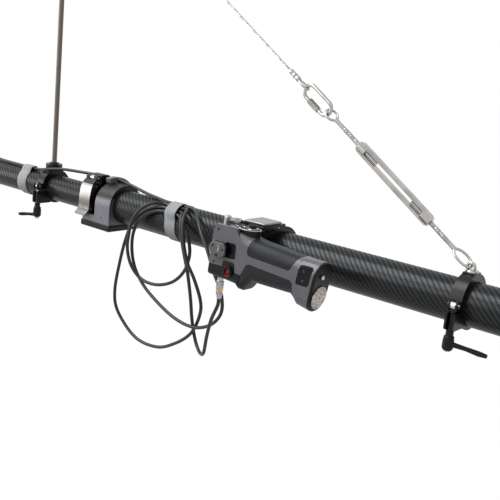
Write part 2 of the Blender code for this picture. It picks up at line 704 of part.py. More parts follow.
def build_latch(boom, finishes):
    rear_face = LATCH_X - LATCH_WIDTH / 2
    place = (rear_face, 0, 0)
    behind = (rear_face - CUT_PAST, 0, 0)
    inner = MAIN_RADIUS + CLEARANCE
    outer = latch_radius()
    wall = [(inner, 0), (outer, 0), (outer, LATCH_WIDTH), (inner, LATCH_WIDTH)]
    collar = turned("latch_collar", wall, finishes["black_metal"], boom, place, ALONG_X, hollow=True)
    near, far = LATCH_NEAR_EAR[0], LATCH_FAR_EAR[1]
    near_corner, far_corner = LATCH_EAR_CORNERS
    ear_outline = rounded([(near, MAIN_RADIUS / 2, LATCH_FOOT_CORNER), (far, MAIN_RADIUS, LATCH_FOOT_CORNER),
                           (far, LATCH_EAR_TOP, far_corner), (near, LATCH_EAR_TOP, near_corner)])
    ears = prism("latch_ears", ear_outline, LATCH_WIDTH, None, boom, place, ALONG_X)
    bore = rod("latch_bore_cutter", inner, 2 * CUT_PAST, None, boom, behind, ALONG_X, ROUND)
    split = box("latch_split_cutter", (LATCH_NEAR_EAR[1], 0, 0),
                (LATCH_FAR_EAR[0], 2 * LATCH_EAR_TOP, 2 * CUT_PAST), None, boom, behind, ALONG_X)
    bolt_hole = rod("latch_bolt_cutter", LATCH_BOLT_RADIUS + CLEARANCE, -LATCH_NEAR_EAR[0], None, boom,
                    (LATCH_X, LATCH_BARREL_Y, LATCH_PIN_HEIGHT), ALONG_MINUS_Y)
    barrel_hole = rod("latch_barrel_cutter", LATCH_BARREL_RADIUS + CLEARANCE, 2 * LATCH_WIDTH, None, boom,
                      (LATCH_X - LATCH_WIDTH, LATCH_BARREL_Y, LATCH_PIN_HEIGHT), ALONG_X)
    join(collar, ears)
    cut(collar, bore, split, bolt_hole, barrel_hole)

    pin_y = latch_pin_y()
    pin_hole = LATCH_PIN_RADIUS + CLEARANCE
    bolt = rod("latch_bolt", LATCH_BARREL_RADIUS, LATCH_WIDTH, finishes["steel"], boom,
               (rear_face, LATCH_BARREL_Y, LATCH_PIN_HEIGHT), ALONG_X)
    shank = rod("latch_bolt_shank", LATCH_BOLT_RADIUS, LATCH_BARREL_Y - pin_y, None, boom,
                (LATCH_X, LATCH_BARREL_Y, LATCH_PIN_HEIGHT), ALONG_MINUS_Y)
    eye = rod("latch_bolt_eye", LATCH_EYE_RADIUS, LATCH_EYE_WIDTH, None, boom,
              (LATCH_X - LATCH_EYE_WIDTH / 2, pin_y, LATCH_PIN_HEIGHT), ALONG_X)
    eye_hole = rod("latch_eye_cutter", pin_hole, 2 * LATCH_EYE_WIDTH, None, boom,
                   (LATCH_X - LATCH_EYE_WIDTH, pin_y, LATCH_PIN_HEIGHT), ALONG_X)
    join(bolt, shank, eye)
    cut(bolt, eye_hole)
    rod("latch_pin", LATCH_PIN_RADIUS, LATCH_WIDTH, finishes["steel"], boom,
        (rear_face, pin_y, LATCH_PIN_HEIGHT), ALONG_X)

    hinge = empty("latch_lever_axis", (LATCH_X, pin_y, LATCH_PIN_HEIGHT), parent=boom)
    half = LATCH_WIDTH / 2 - CLEARANCE
    bends = [polar(latch_radius() + rise, angle) for angle, rise in LEVER_PATH]
    route = [(0, 0, 0)] + [(y - pin_y, z - LATCH_PIN_HEIGHT, 0) for y, z in bends]
    path, _ = smooth_curve(route, LEVER_POINTS)
    outer = []
    inner = []
    for i, point in enumerate(path):
        along = (path[min(i + 1, len(path) - 1)] - path[max(i - 1, 0)]).normalized()
        across = Vector((along.y, -along.x, 0)) * LEVER_PLATE / 2
        outer.append((point.x + across.x, point.y + across.y))
        inner.append((point.x - across.x, point.y - across.y))
    outline = outer + inner[::-1]
    lever = prism("latch_lever", outline, 2 * half, finishes["silver"], hinge, (-half, 0, 0), ALONG_X)
    cam = rod("latch_cam", LATCH_CAM_RADIUS, 2 * half, None, hinge, (-half, 0, 0), ALONG_X)
    cam_hole = rod("latch_cam_cutter", pin_hole, 4 * half, None, hinge, (-2 * half, 0, 0), ALONG_X)
    eye_room = LATCH_EYE_WIDTH / 2 + 2 * CLEARANCE
    room = box("latch_eye_room_cutter", (-LATCH_CAM_RADIUS * 1.2, -LATCH_CAM_RADIUS * 1.3, -eye_room),
               (LATCH_CAM_RADIUS * 1.5, LATCH_CAM_RADIUS * 1.5, eye_room), None, hinge, (0, 0, 0), ALONG_X)
    join(lever, cam)
    cut(lever, cam_hole, room)
    soften(lever, LEVER_PLATE / 5, 1)


# Split clamps with a turning handle


def build_clamp(prefix, x, width, tube_radius, reach, bolt, parent, finishes):
    """A ring, its two ears and the stud that draws them together. Returns the height of its top pad."""
    bolt_x, bolt_y = bolt
    bore = tube_radius + CLEARANCE
    outer = tube_radius + CLAMP_WALL
    rear_face = x - width / 2
    ring = rod(f"{prefix}_clamp_ring", outer, width, finishes["black_metal"], parent,
               (rear_face, 0, CLAMP_LIFT), ALONG_X, ROUND)
    root = -tube_radius / 2
    ear_size = (reach + root, CLAMP_EAR_TOP - CLAMP_EAR_BOTTOM)
    ear_centre = ((root - reach) / 2, (CLAMP_EAR_TOP + CLAMP_EAR_BOTTOM) / 2)
    ear_outline = rectangle(ear_centre, ear_size, CLAMP_EAR_CORNER, 3)
    ears = prism(f"{prefix}_ears", ear_outline, CLAMP_EAR_WIDTH, None, parent,
                 (bolt_x - CLAMP_EAR_WIDTH / 2, 0, 0), ALONG_X)
    pad_top = CLAMP_LIFT + outer + CLAMP_PAD_RISE
    pad = box(f"{prefix}_pad", (-CLAMP_PAD_WIDTH / 2, outer - CLAMP_WALL / 2, 0),
              (CLAMP_PAD_WIDTH / 2, pad_top, width), None, parent, (rear_face, 0, 0), ALONG_X)
    hole = rod(f"{prefix}_bore_cutter", bore, 4 * width, None, parent, (x - 2 * width, 0, 0), ALONG_X, ROUND)
    split = box(f"{prefix}_split_cutter", (-2 * reach, CLAMP_SPLIT_Z - CLAMP_SPLIT / 2, -width),
                (-tube_radius / 2, CLAMP_SPLIT_Z + CLAMP_SPLIT / 2, width), None, parent, (x, 0, 0), ALONG_X)
    join(ring, ears, pad)
    cut(ring, hole, split, *bolt_cutters(prefix, reach, bolt, parent))
    build_swing_bolt(prefix, bolt, parent, finishes)
    return pad_top


def bolt_cutters(prefix, reach, bolt, parent):
    """Slots, open to the front, for the bolt and its eye, and the notch that its cross pin hooks into."""
    bolt_x, bolt_y = bolt
    room = STUD_RADIUS + CLEARANCE
    front, low, high = -2 * reach, -2 * reach, 2 * reach
    eye_back = bolt_y + STUD_EYE_RADIUS + CLEARANCE
    pin_room = STUD_PIN_RADIUS + CLEARANCE
    axis = (bolt_x, 0, 0)
    return [
        box(f"{prefix}_bolt_slot_cutter", (-room, front, low), (room, bolt_y, CLAMP_SPLIT_Z), None, parent,
            axis),
        rod(f"{prefix}_bolt_cutter", room, CLAMP_SPLIT_Z - low, None, parent, (bolt_x, bolt_y, low)),
        box(f"{prefix}_eye_slot_cutter", (-room, front, CLAMP_SPLIT_Z), (room, eye_back, high), None, parent,
            axis),
        box(f"{prefix}_notch_cutter", (-CLAMP_EAR_WIDTH, bolt_y - pin_room, STUD_PIN_Z),
            (CLAMP_EAR_WIDTH, bolt_y + pin_room, high), None, parent, axis),
        rod(f"{prefix}_pin_cutter", pin_room, 2 * CLAMP_EAR_WIDTH, None, parent,
            (bolt_x - CLAMP_EAR_WIDTH, bolt_y, STUD_PIN_Z), ALONG_X),
    ]


def build_swing_bolt(prefix, bolt, parent, finishes):
    """The bolt that draws the ears together, from its cross pin in the upper ear to its end in the handle."""
    bolt_x, bolt_y = bolt
    low = HANDLE_TOP - HANDLE_BORE_DEPTH + CLEARANCE
    stud = rod(f"{prefix}_clamp_stud", STUD_RADIUS, STUD_PIN_Z - low, finishes["steel"], parent,
               (bolt_x, bolt_y, low))
    eye = rod(f"{prefix}_stud_eye", STUD_EYE_RADIUS, STUD_EYE_WIDTH, None, parent,
              (bolt_x - STUD_EYE_WIDTH / 2, bolt_y, STUD_PIN_Z), ALONG_X)
    half_pin = CLAMP_EAR_WIDTH / 2 + STUD_PIN_PROUD
    pin = rod(f"{prefix}_stud_pin", STUD_PIN_RADIUS, 2 * half_pin, None, parent,
              (bolt_x - half_pin, bolt_y, STUD_PIN_Z), ALONG_X)
    join(stud, eye, pin)


def build_handle(name, bolt, turn, reach, level, parent, finishes):
    """A hub that screws on the stud, with an arm that starts at a share of its height and dips a little."""
    axis = empty(f"{name}_axis", (*bolt, HANDLE_TOP), (0, 0, math.radians(turn)), parent)
    bore = STUD_RADIUS + CLEARANCE

    def down(share):
        return -HANDLE_NECK_HEIGHT - share * HANDLE_HUB_HEIGHT

    profile = [(bore, -HANDLE_BORE_DEPTH), (bore, 0), (HANDLE_NECK_RADIUS, 0), (HANDLE_NECK_RADIUS, down(0)),
               (0.9 * HANDLE_HUB_RADIUS, down(0.06)), (HANDLE_HUB_RADIUS, down(0.35)),
               (HANDLE_HUB_RADIUS, down(0.85)), (0.75 * HANDLE_HUB_RADIUS, down(1))]
    hub = turned(name, profile, finishes["black_plastic"], axis, count=SMALL_ROUND)
    stations = [(0.5 * HANDLE_HUB_RADIUS, 0, HANDLE_ARM), (0.45 * reach, 0.04, 0.8 * HANDLE_ARM),
                (0.8 * reach, 0.12, HANDLE_ARM), (reach, 0.15, HANDLE_TIP)]
    rings = []
    for out, dip, thickness in stations:
        section = rectangle((0, down(level + dip)), (1.25 * thickness, thickness), 0.3 * thickness, 2)
        rings.append([(out, y, z) for y, z in section])
    join(hub, solid(f"{name}_arm", skin(rings, False), None, axis))


# Mast and stay


def build_mast(rear, pad_top, finishes):
    foot_low = pad_top + CLEARANCE
    flange = foot_low + MAST_FLANGE_HEIGHT
    socket = flange + MAST_SOCKET_HEIGHT
    bore = MAST_RADIUS + CLEARANCE
    seat = foot_low + MAST_FLANGE_HEIGHT / 3
    profile = [(bore, seat), (bore, socket), (MAST_SOCKET_RADIUS, socket), (MAST_SOCKET_RADIUS, flange),
               (MAST_FLANGE_RADIUS, flange), (MAST_FLANGE_RADIUS, foot_low)]
    turned("mast_foot", profile, finishes["black_metal"], rear, (MAST_CLAMP_X, 0, 0), count=MEDIUM_ROUND)
    rod("mast_rod", MAST_RADIUS, MAST_TOP - seat - 2 * CLEARANCE, finishes["bronze_rod"], rear,
        (MAST_CLAMP_X, 0, seat + CLEARANCE))
    cap_low = MAST_TOP - MAST_HEAD_HEIGHT / 2
    cap_top = cap_low + MAST_HEAD_HEIGHT
    profile = [(bore, MAST_TOP), (bore, cap_low), (MAST_HEAD_RADIUS, cap_low),
               (MAST_HEAD_RADIUS, cap_low + 0.9 * MAST_HEAD_HEIGHT), (0.6 * MAST_HEAD_RADIUS, cap_top)]
    head = turned("mast_head", profile, finishes["steel"], rear, (MAST_CLAMP_X, 0, 0), count=MEDIUM_ROUND)
    lug_x, lug_z = STAY_HIGH
    lug = loop_of_wire("mast_head_lug", link_path(2 * HEAD_LUG_RADIUS, 2 * HEAD_LUG_RADIUS), HEAD_LUG_WIRE,
                       None, rear, (lug_x, 0, lug_z))
    join(head, lug)


def build_stay(boom, rear, finishes):
    """The pad eye, turnbuckle, quick link and wire, along one line from the clamp to the mast head."""
    steel = finishes["steel"]
    start = (STAY_LOW[0], 0, STAY_LOW[1])
    base = STAY_PAD_TOP + CLEARANCE
    pad_eye = rod("pad_eye", PAD_EYE_BASE_RADIUS, PAD_EYE_BASE, steel, boom, (STAY_CLAMP_X, 0, base))
    bow = loop_of_wire("pad_eye_bow", link_path(2 * PAD_EYE_RADIUS, 2 * PAD_EYE_RADIUS), PAD_EYE_WIRE, None,
                       boom, start)
    room = 4 * PAD_EYE_RADIUS
    under = box("pad_eye_under_cutter", (PAD_EYE_X - room, -room, base - room),
                (PAD_EYE_X + room, room, base + PAD_EYE_BASE / 2), None, boom)
    cut(bow, under)
    join(pad_eye, bow)

    lean = (0, math.radians(STAY_ANGLE - 90), 0)
    line = empty("stay_line", start, lean, boom)
    body_end = TURNBUCKLE_START + TURNBUCKLE_LENGTH
    lower_eye = PAD_EYE_RADIUS - PAD_EYE_WIRE - EYE_WIRE - CLEARANCE + EYE_LENGTH / 2
    eye_piece("turnbuckle_lower_eye", lower_eye, TURNBUCKLE_START + THREAD_ENTRY, line, steel)
    eye_piece("turnbuckle_upper_eye", UPPER_EYE_AT, body_end - THREAD_ENTRY, line, steel)
    build_turnbuckle_body(line, steel)

    link_low = UPPER_EYE_AT + EYE_LENGTH / 2 - EYE_WIRE - LINK_WIRE - CLEARANCE
    build_quick_link(line, link_low + LINK_LENGTH / 2, steel)

    lower_end = link_low + LINK_LENGTH - LINK_WIRE - WIRE_RADIUS - CLEARANCE + WIRE_EYE_LENGTH / 2
    wire_end("wire_lower_end", lower_end, 1, line, steel)
    far_line = empty("stay_far_line", start, lean, rear)
    upper_end = STAY_RUN - HEAD_LUG_RADIUS + HEAD_LUG_WIRE + WIRE_RADIUS + CLEARANCE - WIRE_EYE_LENGTH / 2
    wire_end("wire_upper_end", upper_end, -1, far_line, steel)
    ferrule_end = WIRE_EYE_LENGTH / 2 + FERRULE_LENGTH
    wire_low = lower_end + ferrule_end + CLEARANCE
    wire_top = upper_end - ferrule_end - CLEARANCE
    rod("stay_wire", WIRE_RADIUS, wire_top - wire_low, steel, line, (0, 0, wire_low), count=WIRE_SIDES)


def eye_piece(name, ring_at, shank_end, line, finish):
    """An eye of round wire with a threaded shank that runs to shank_end along the stay."""
    ring = loop_of_wire(name, link_path(EYE_LENGTH, EYE_WIDTH), EYE_WIRE, finish, line, (0, 0, ring_at),
                        (0, 0, math.pi / 2))
    start = ring_at + math.copysign(EYE_LENGTH / 2 - EYE_WIRE / 2, shank_end - ring_at)
    shank = rod(f"{name}_shank", THREAD_RADIUS, abs(shank_end - start), None, line,
                (0, 0, min(start, shank_end)))
    join(ring, shank)


def build_turnbuckle_body(line, finish):
    spin = empty("turnbuckle_axis", (0, 0, TURNBUCKLE_START + TURNBUCKLE_LENGTH / 2), parent=line)
    frame = rectangle((0, 0), (TURNBUCKLE_WIDTH, TURNBUCKLE_LENGTH), TURNBUCKLE_CORNER)
    body = prism("turnbuckle_body", frame, TURNBUCKLE_DEPTH, finish, spin, (0, TURNBUCKLE_DEPTH / 2, 0),
                 ALONG_MINUS_Y)
    slot_length = TURNBUCKLE_LENGTH - 2 * TURNBUCKLE_BOSS
    window = rectangle((0, 0), (TURNBUCKLE_SLOT, slot_length), TURNBUCKLE_SLOT / 3)
    slot = prism("turnbuckle_slot_cutter", window, 3 * TURNBUCKLE_DEPTH, None, spin,
                 (0, 1.5 * TURNBUCKLE_DEPTH, 0), ALONG_MINUS_Y)
    cut(body, slot)
    end = TURNBUCKLE_LENGTH / 2
    for name, low in (("lower", -end), ("upper", end - TURNBUCKLE_BOSS)):
        boss = rod(f"turnbuckle_{name}_boss", TURNBUCKLE_BOSS_RADIUS, TURNBUCKLE_BOSS, None, spin,
                   (0, 0, low))
        join(body, boss)
    thread = rod("turnbuckle_thread_cutter", THREAD_RADIUS + CLEARANCE, 2 * TURNBUCKLE_LENGTH, None, spin,
                 (0, 0, -TURNBUCKLE_LENGTH))
    cut(body, thread)


def build_quick_link(line, centre, finish):
    """A link of round wire, open at one bar, with the long nut that closes it."""
    path = link_path(LINK_LENGTH, LINK_WIDTH)
    link = loop_of_wire("quick_link", path, LINK_WIRE, finish, line, (0, 0, centre))
    bar = -LINK_WIDTH / 2
    gap = box("link_gap_cutter", (bar - 3 * LINK_WIRE, -3 * LINK_WIRE, -LINK_GAP / 2),
              (bar + 3 * LINK_WIRE, 3 * LINK_WIRE, LINK_GAP / 2), None, line, (0, 0, centre))
    cut(link, gap)
    nut = empty("link_sleeve_axis", (bar, 0, centre), parent=line)
    bore = LINK_WIRE + CLEARANCE
    half = SLEEVE_LENGTH / 2
    profile = [(SLEEVE_RADIUS, -half), (SLEEVE_RADIUS, half)]
    sleeve = turned("quick_link_sleeve", profile, finish, nut, count=HEX)
    cut(sleeve, rod("sleeve_bore_cutter", bore, 2 * SLEEVE_LENGTH, None, nut, (0, 0, -SLEEVE_LENGTH)))


def wire_end(name, ring_at, side, line, finish):
    """The wire's end: an eye and the crimped ferrule that closes it."""
    path = link_path(WIRE_EYE_LENGTH, WIRE_EYE_WIDTH)
    ring = loop_of_wire(name, path, WIRE_RADIUS, finish, line, (0, 0, ring_at), (0, 0, math.pi / 2))
    near = ring_at + side * (WIRE_EYE_LENGTH / 2 - WIRE_RADIUS / 2)
    far = ring_at + side * (WIRE_EYE_LENGTH / 2 + FERRULE_LENGTH)
    ferrule = rod(f"{name}_ferrule", FERRULE_RADIUS, abs(far - near), None, line, (0, 0, min(near, far)))
    join(ring, ferrule)


# Straps


def strap(name, x, width, tube_radius, bulge, finish, parent):
    """A band round a tube, with a bulge (angle, spread, rise) where it holds cables."""
    angle, spread, rise = bulge
    rings = []
    for k in range(STRAP_STEPS):
        a = 360.0 * k / STRAP_STEPS
        off = ((a - angle + 180) % 360 - 180) / spread
        inner = tube_radius + CLEARANCE + rise * math.exp(-(off**4))
        outer = inner + STRAP_THICKNESS
        ring = []
        for radius, side in ((inner, -1), (outer, -1), (outer, 1), (inner, 1)):
            y, z = polar(radius, a)
            ring.append((side * width / 2, y, z))
        rings.append(ring)
    return solid(name, skin(rings, True), finish, parent, (x, 0, 0))


def polar(radius, degrees):
    """A place round the tube: its Y and Z at an angle from +Z to -Y."""
    a = math.radians(degrees)
    return -radius * math.sin(a), radius * math.cos(a)


def build_straps(boom, rear, finishes):
    tape = finishes["webbing"]
    bundle = (BUNDLE_ANGLE, BUNDLE_SPREAD, BUNDLE_RISE)
    single = (SINGLE_ANGLE, SINGLE_SPREAD, SINGLE_RISE)
    strap("strap_right", RIGHT_STRAP_X, RIGHT_STRAP_WIDTH, MAIN_RADIUS, bundle, tape, boom)
    strap("strap_left", LEFT_STRAP_X, LEFT_STRAP_WIDTH, REAR_RADIUS, single, tape, rear)


# Clamp and arm that carry the grip


def build_grip_clamp(boom, finishes):
    bore = MAIN_RADIUS + CLEARANCE
    outer = bore + GRIP_CLAMP_WALL
    rear_face = GRIP_CLAMP_X - GRIP_CLAMP_LENGTH / 2
    black = finishes["black_metal"]
    wall = [(bore, 0), (outer, 0), (outer, GRIP_CLAMP_LENGTH), (bore, GRIP_CLAMP_LENGTH)]
    ring = turned("grip_clamp", wall, black, boom, (rear_face, 0, 0), ALONG_X, hollow=True)
    edges = [(-GRIP_CLAMP_REACH, GRIP_CLAMP_BOTTOM), (0, GRIP_CLAMP_BOTTOM), (0, GRIP_CLAMP_TOP),
             (-GRIP_CLAMP_REACH, GRIP_CLAMP_TOP)]
    outline = rounded([(*edge, corner) for edge, corner in zip(edges, GRIP_CLAMP_CORNERS)])
    block = prism("grip_clamp_block", outline, GRIP_CLAMP_LENGTH, None, boom, (rear_face, 0, 0), ALONG_X)
    hole = rod("grip_clamp_bore_cutter", bore, 3 * GRIP_CLAMP_LENGTH, None, boom,
               (rear_face - GRIP_CLAMP_LENGTH, 0, 0), ALONG_X, ROUND)
    entry_x, _, entry_z = ANGLE_CABLE_ROUTE[-1]
    entry = rod("angle_cable_entry_cutter", THIN_CABLE_RADIUS + CLEARANCE, CABLE_ENTRY + CUT_PAST, None, boom,
                (entry_x, CABLE_ENTRY - GRIP_CLAMP_REACH, entry_z), ALONG_MINUS_Y)
    join(ring, block)
    cut(ring, hole, entry)
    half = GRIP_CAP_LENGTH / 2
    cap_low = GRIP_CLAMP_TOP + CLEARANCE
    cap = box("grip_clamp_cap", (-half, GRIP_CAP_Y[0], cap_low),
              (half, GRIP_CAP_Y[1], cap_low + GRIP_CAP_THICKNESS), black, boom, (GRIP_CLAMP_X, 0, 0))
    soften(cap, GRIP_CAP_THICKNESS / 4, 1)
    arm_start = -GRIP_CLAMP_REACH - CLEARANCE
    arm_end = GRIP_Y + GRIP_FACE + CLEARANCE
    rod("grip_arm", GRIP_ARM_RADIUS, arm_start - arm_end, black, boom,
        (GRIP_CLAMP_X, arm_start, GRIP_ARM_Z), ALONG_MINUS_Y, MEDIUM_ROUND)


# Control grip: a core, two shells, two rubber pads and a base for the head


def grip_solid(name, inset, finish, parent):
    """The grip's leaning form, with its whole surface moved in by an inset."""
    rings = []
    first = GRIP_STATIONS[0][0]
    length = GRIP_STATIONS[-1][0] - first
    for x, top, bottom, half, corner in GRIP_STATIONS:
        along = first + inset + (x - first) * (1 - 2 * inset / length)
        size = (2 * (half - inset), top - bottom - 2 * inset)
        section = rectangle((GRIP_Y, (top + bottom) / 2), size, max(corner - inset, GRIP_LEAST_CORNER))
        lean = HEAD_LEAN + (GRIP_LEAN - HEAD_LEAN) * (x - first) / length
        rings.append([(along + lean * z, y, z) for y, z in section])
    return solid(name, skin(rings, False), finish, parent)


def grown(corners, amount):
    """The corners (x, y, radius) of an outline moved out by an amount."""
    moved = []
    turning = math.copysign(amount, sum(turn_at(corners, i) for i in range(len(corners))))
    for i, (x, y, radius) in enumerate(corners):
        here = Vector((x, y))
        before = (Vector(corners[i - 1][:2]) - here).normalized()
        after = (Vector(corners[(i + 1) % len(corners)][:2]) - here).normalized()
        side = math.copysign(amount, turning * turn_at(corners, i))
        out = -(before + after).normalized() * side / math.sin(before.angle(after) / 2)
        moved.append((x + out.x, y + out.y, max(radius + side, GRIP_LEAST_CORNER / 2)))
    return moved


def turn_at(corners, i):
    """How far an outline turns at a corner: above 0 to the left, below 0 to the right."""
    here = Vector(corners[i][:2])
    before = here - Vector(corners[i - 1][:2])
    after = Vector(corners[(i + 1) % len(corners)][:2]) - here
    return before.angle_signed(after) * -1


def across_grip(name, outline, parent):
    """A cutter in XZ that runs right through the grip."""
    return prism(name, outline, 4 * GRIP_FACE, None, parent, (0, GRIP_Y + 2 * GRIP_FACE, 0), ALONG_MINUS_Y)


def build_grip(boom, finishes):
    grip_solid("grip_core", GRIP_SHELL + CLEARANCE, finishes["black_plastic"], boom)
    inside = grip_solid("grip_inside_cutter", GRIP_SHELL, None, boom)
    wraps = {"grip_upper_pad": UPPER_PAD, "grip_lower_pad": LOWER_PAD, "grip_head_base": HEAD_BASE}
    looks = {"grip_upper_pad": "rubber", "grip_lower_pad": "rubber", "grip_head_base": "black_plastic"}
    gaps = []
    for name, corners in wraps.items():
        piece = grip_solid(name, 0, finishes[looks[name]], boom)
        region = across_grip(f"{name}_region", rounded(corners), boom)
        cut(piece, inside)
        combine(piece, region, "INTERSECT")
        gaps.append(across_grip(f"{name}_gap_cutter", rounded(grown(corners, GRIP_SEAM)), boom))

    recess = rectangle(RECESS_CENTRE, RECESS_SIZE, RECESS_CORNER)
    holes = [across_grip("grip_recess_cutter", recess, boom),
             across_grip("grip_window_cutter", window_outline(GRIP_SEAM), boom)]
    halves = {"grip_side_shell": (4 * GRIP_Y, GRIP_SEAM_Y - GRIP_SEAM / 2),
              "grip_back_shell": (GRIP_SEAM_Y + GRIP_SEAM / 2, 0.0)}
    for name, (low, high) in halves.items():
        shell = grip_solid(name, 0, finishes["grip_grey"], boom)
        region = box(f"{name}_region", (0, low, -1), (1, high, 1), None, boom)
        cut(shell, inside)
        combine(shell, region, "INTERSECT")
        if name == "grip_side_shell":
            join(shell, build_brow(inside, boom))
            cut(shell, *holes)
        cut(shell, *gaps)
    prism("grip_window", window_outline(0), WINDOW_THICKNESS, finishes["glass"], boom,
          (0, GRIP_Y - GRIP_FACE + WINDOW_THICKNESS + WINDOW_SUNK, 0), ALONG_MINUS_Y)
    build_grip_end(boom, finishes)
    rail_outline = rectangle(RAIL_CENTRE, RAIL_SIZE, RAIL_CORNER, 1)
    rail = prism("rail_plate", rail_outline, RAIL_THICKNESS, finishes["grey_metal"], boom,
                 (0, GRIP_Y - GRIP_FACE - CLEARANCE, 0), ALONG_MINUS_Y)
    soften(rail, RAIL_THICKNESS / 8, 1)


def build_brow(inside, boom):
    """The raised front edge of the head, hollowed for the core."""
    brow = prism("grip_brow", rounded(BROW), BROW_THICKNESS, None, boom,
                 (0, GRIP_Y - GRIP_FACE + BROW_THICKNESS, 0), ALONG_MINUS_Y)
    cut(brow, inside)
    return brow


def window_outline(room):
    size = (WINDOW_SIZE[0] + 2 * room, WINDOW_SIZE[1] + 2 * room)
    return [(x + GRIP_LEAN * z, z) for x, z in rectangle(WINDOW_CENTRE, size, WINDOW_CORNER + room)]


def build_grip_end(boom, finishes):
    """The plate that closes the grip's end, with a disc and a stud on it."""
    x, top, bottom, half, corner = GRIP_STATIONS[-1]
    rings = []
    for out, inset in ((CLEARANCE, 0), (0.6 * END_PLATE, 0), (END_PLATE, 0.4 * END_PLATE)):
        size = (2 * (half - inset), top - bottom - 2 * inset)
        section = rectangle((GRIP_Y, (top + bottom) / 2), size, corner - inset)
        rings.append([(x + out + GRIP_LEAN * z, y, z) for y, z in section])
    solid("grip_end_plate", skin(rings, False), finishes["black_plastic"], boom)
    tilt = math.atan(GRIP_LEAN)
    face = x + END_PLATE + CLEARANCE / math.cos(tilt)
    square_to_end = (0, math.pi / 2 + tilt, 0)
    rod("grip_end_disc", END_DISC_RADIUS, END_DISC_THICKNESS, finishes["disc_metal"], boom,
        (face + GRIP_LEAN * END_DISC_Z, GRIP_Y, END_DISC_Z), square_to_end, MEDIUM_ROUND)
    profile = [(END_STUD_RADIUS, 0), (END_STUD_RADIUS, END_STUD_LENGTH * 0.7),
               (END_STUD_RADIUS * 0.6, END_STUD_LENGTH)]
    turned("grip_end_stud", profile, finishes["steel"], boom,
           (face + GRIP_LEAN * END_STUD_Z, END_STUD_Y, END_STUD_Z), square_to_end, SMALL_ROUND)


def build_controls(boom, finishes):
    """The oval plate on the head, with its buttons and its joystick."""
    black = finishes["black_plastic"]
    outline = []
    for k in range(PLATE_STEPS):
        a = 2 * math.pi * k / PLATE_STEPS
        outline.append((CONTROL_HALF_LENGTH * math.cos(a), CONTROL_HALF_WIDTH * math.sin(a)))
    low = CONTROL_TOP / 2
    plate = prism("control_plate", outline, CONTROL_TOP - low, black, boom, (CONTROL_X, GRIP_Y, low))
    cut(plate, grip_solid("control_seat_cutter", -CLEARANCE, None, boom))
    for k, (dx, dy) in enumerate(BUTTON_PLACES, 1):
        place = (CONTROL_X + dx, GRIP_Y + dy, CONTROL_TOP)
        well = rod(f"button_{k}_cutter", BUTTON_RADIUS + CLEARANCE, 2 * BUTTON_WELL, None, boom,
                   (place[0], place[1], CONTROL_TOP - BUTTON_WELL))
        cut(plate, well)
        foot = BUTTON_TRAVEL + CLEARANCE - BUTTON_WELL
        profile = [(BUTTON_RADIUS, foot), (BUTTON_RADIUS, BUTTON_RISE * 0.7),
                   (BUTTON_RADIUS * 0.75, BUTTON_RISE)]
        turned(f"control_button_{k}", profile, black, boom, place, count=SMALL_ROUND)
    place = (CONTROL_X + STICK_PLACE[0], GRIP_Y + STICK_PLACE[1], CONTROL_TOP)
    well = rod("joystick_cutter", STICK_NECK + STICK_ROOM, 2 * STICK_DEPTH, None, boom,
               (place[0], place[1], CONTROL_TOP - STICK_DEPTH))
    cut(plate, well)
    axis = empty("joystick_axis", (place[0], place[1], CONTROL_TOP - STICK_PIVOT), parent=boom)
    under = STICK_PIVOT + STICK_RISE - STICK_CAP
    over = STICK_PIVOT + STICK_RISE
    profile = [(STICK_NECK, STICK_PIVOT + 2 * CLEARANCE - STICK_DEPTH), (STICK_NECK, under),
               (STICK_RADIUS, under), (STICK_RADIUS, over), (STICK_RADIUS * 0.85, over),
               (STICK_RADIUS * 0.5, over - 0.4 * STICK_CAP)]
    turned("joystick", profile, finishes["rubber"], axis, count=SMALL_ROUND)


# Sockets and plugs


def build_connectors(boom, rear, finishes):
    build_accessory_socket(boom, finishes)
    build_cable_plug(boom, finishes)
    build_angle_plug(boom, finishes)
    build_rear_connector(rear, finishes)


def build_accessory_socket(boom, finishes):
    x, z = SOCKET_PLACE
    face = GRIP_Y - GRIP_FACE - CLEARANCE
    floor = 0.3 * SOCKET_PROUD
    profile = [(SOCKET_BORE, floor), (SOCKET_BORE, SOCKET_PROUD), (0.9 * SOCKET_RADIUS, SOCKET_PROUD),
               (SOCKET_RADIUS, 0.7 * SOCKET_PROUD), (SOCKET_RADIUS, 0)]
    turned("accessory_socket", profile, finishes["black_metal"], boom, (x, face, z), ALONG_MINUS_Y,
           MEDIUM_ROUND)


def build_cable_plug(boom, finishes):
    """The socket under the head and the plug in it, which hangs straight down."""
    x, y = PLUG_PLACE
    socket_end = PLUG_SOCKET_Z - PLUG_BASE
    rod("plug_socket", PLUG_BASE_RADIUS, PLUG_BASE, finishes["black_metal"], boom, (x, y, PLUG_SOCKET_Z),
        DOWN, MEDIUM_ROUND)
    body = [(0.86, 0.00), (0.86, 0.16), (1.00, 0.18), (1.00, 0.62), (0.88, 0.65), (0.88, 0.80), (0.62, 1.00)]
    turned("cable_plug", [(PLUG_RADIUS * r, PLUG_LENGTH * h) for r, h in body], finishes["silver"], boom,
           (x, y, socket_end - CLEARANCE), DOWN, MEDIUM_ROUND)


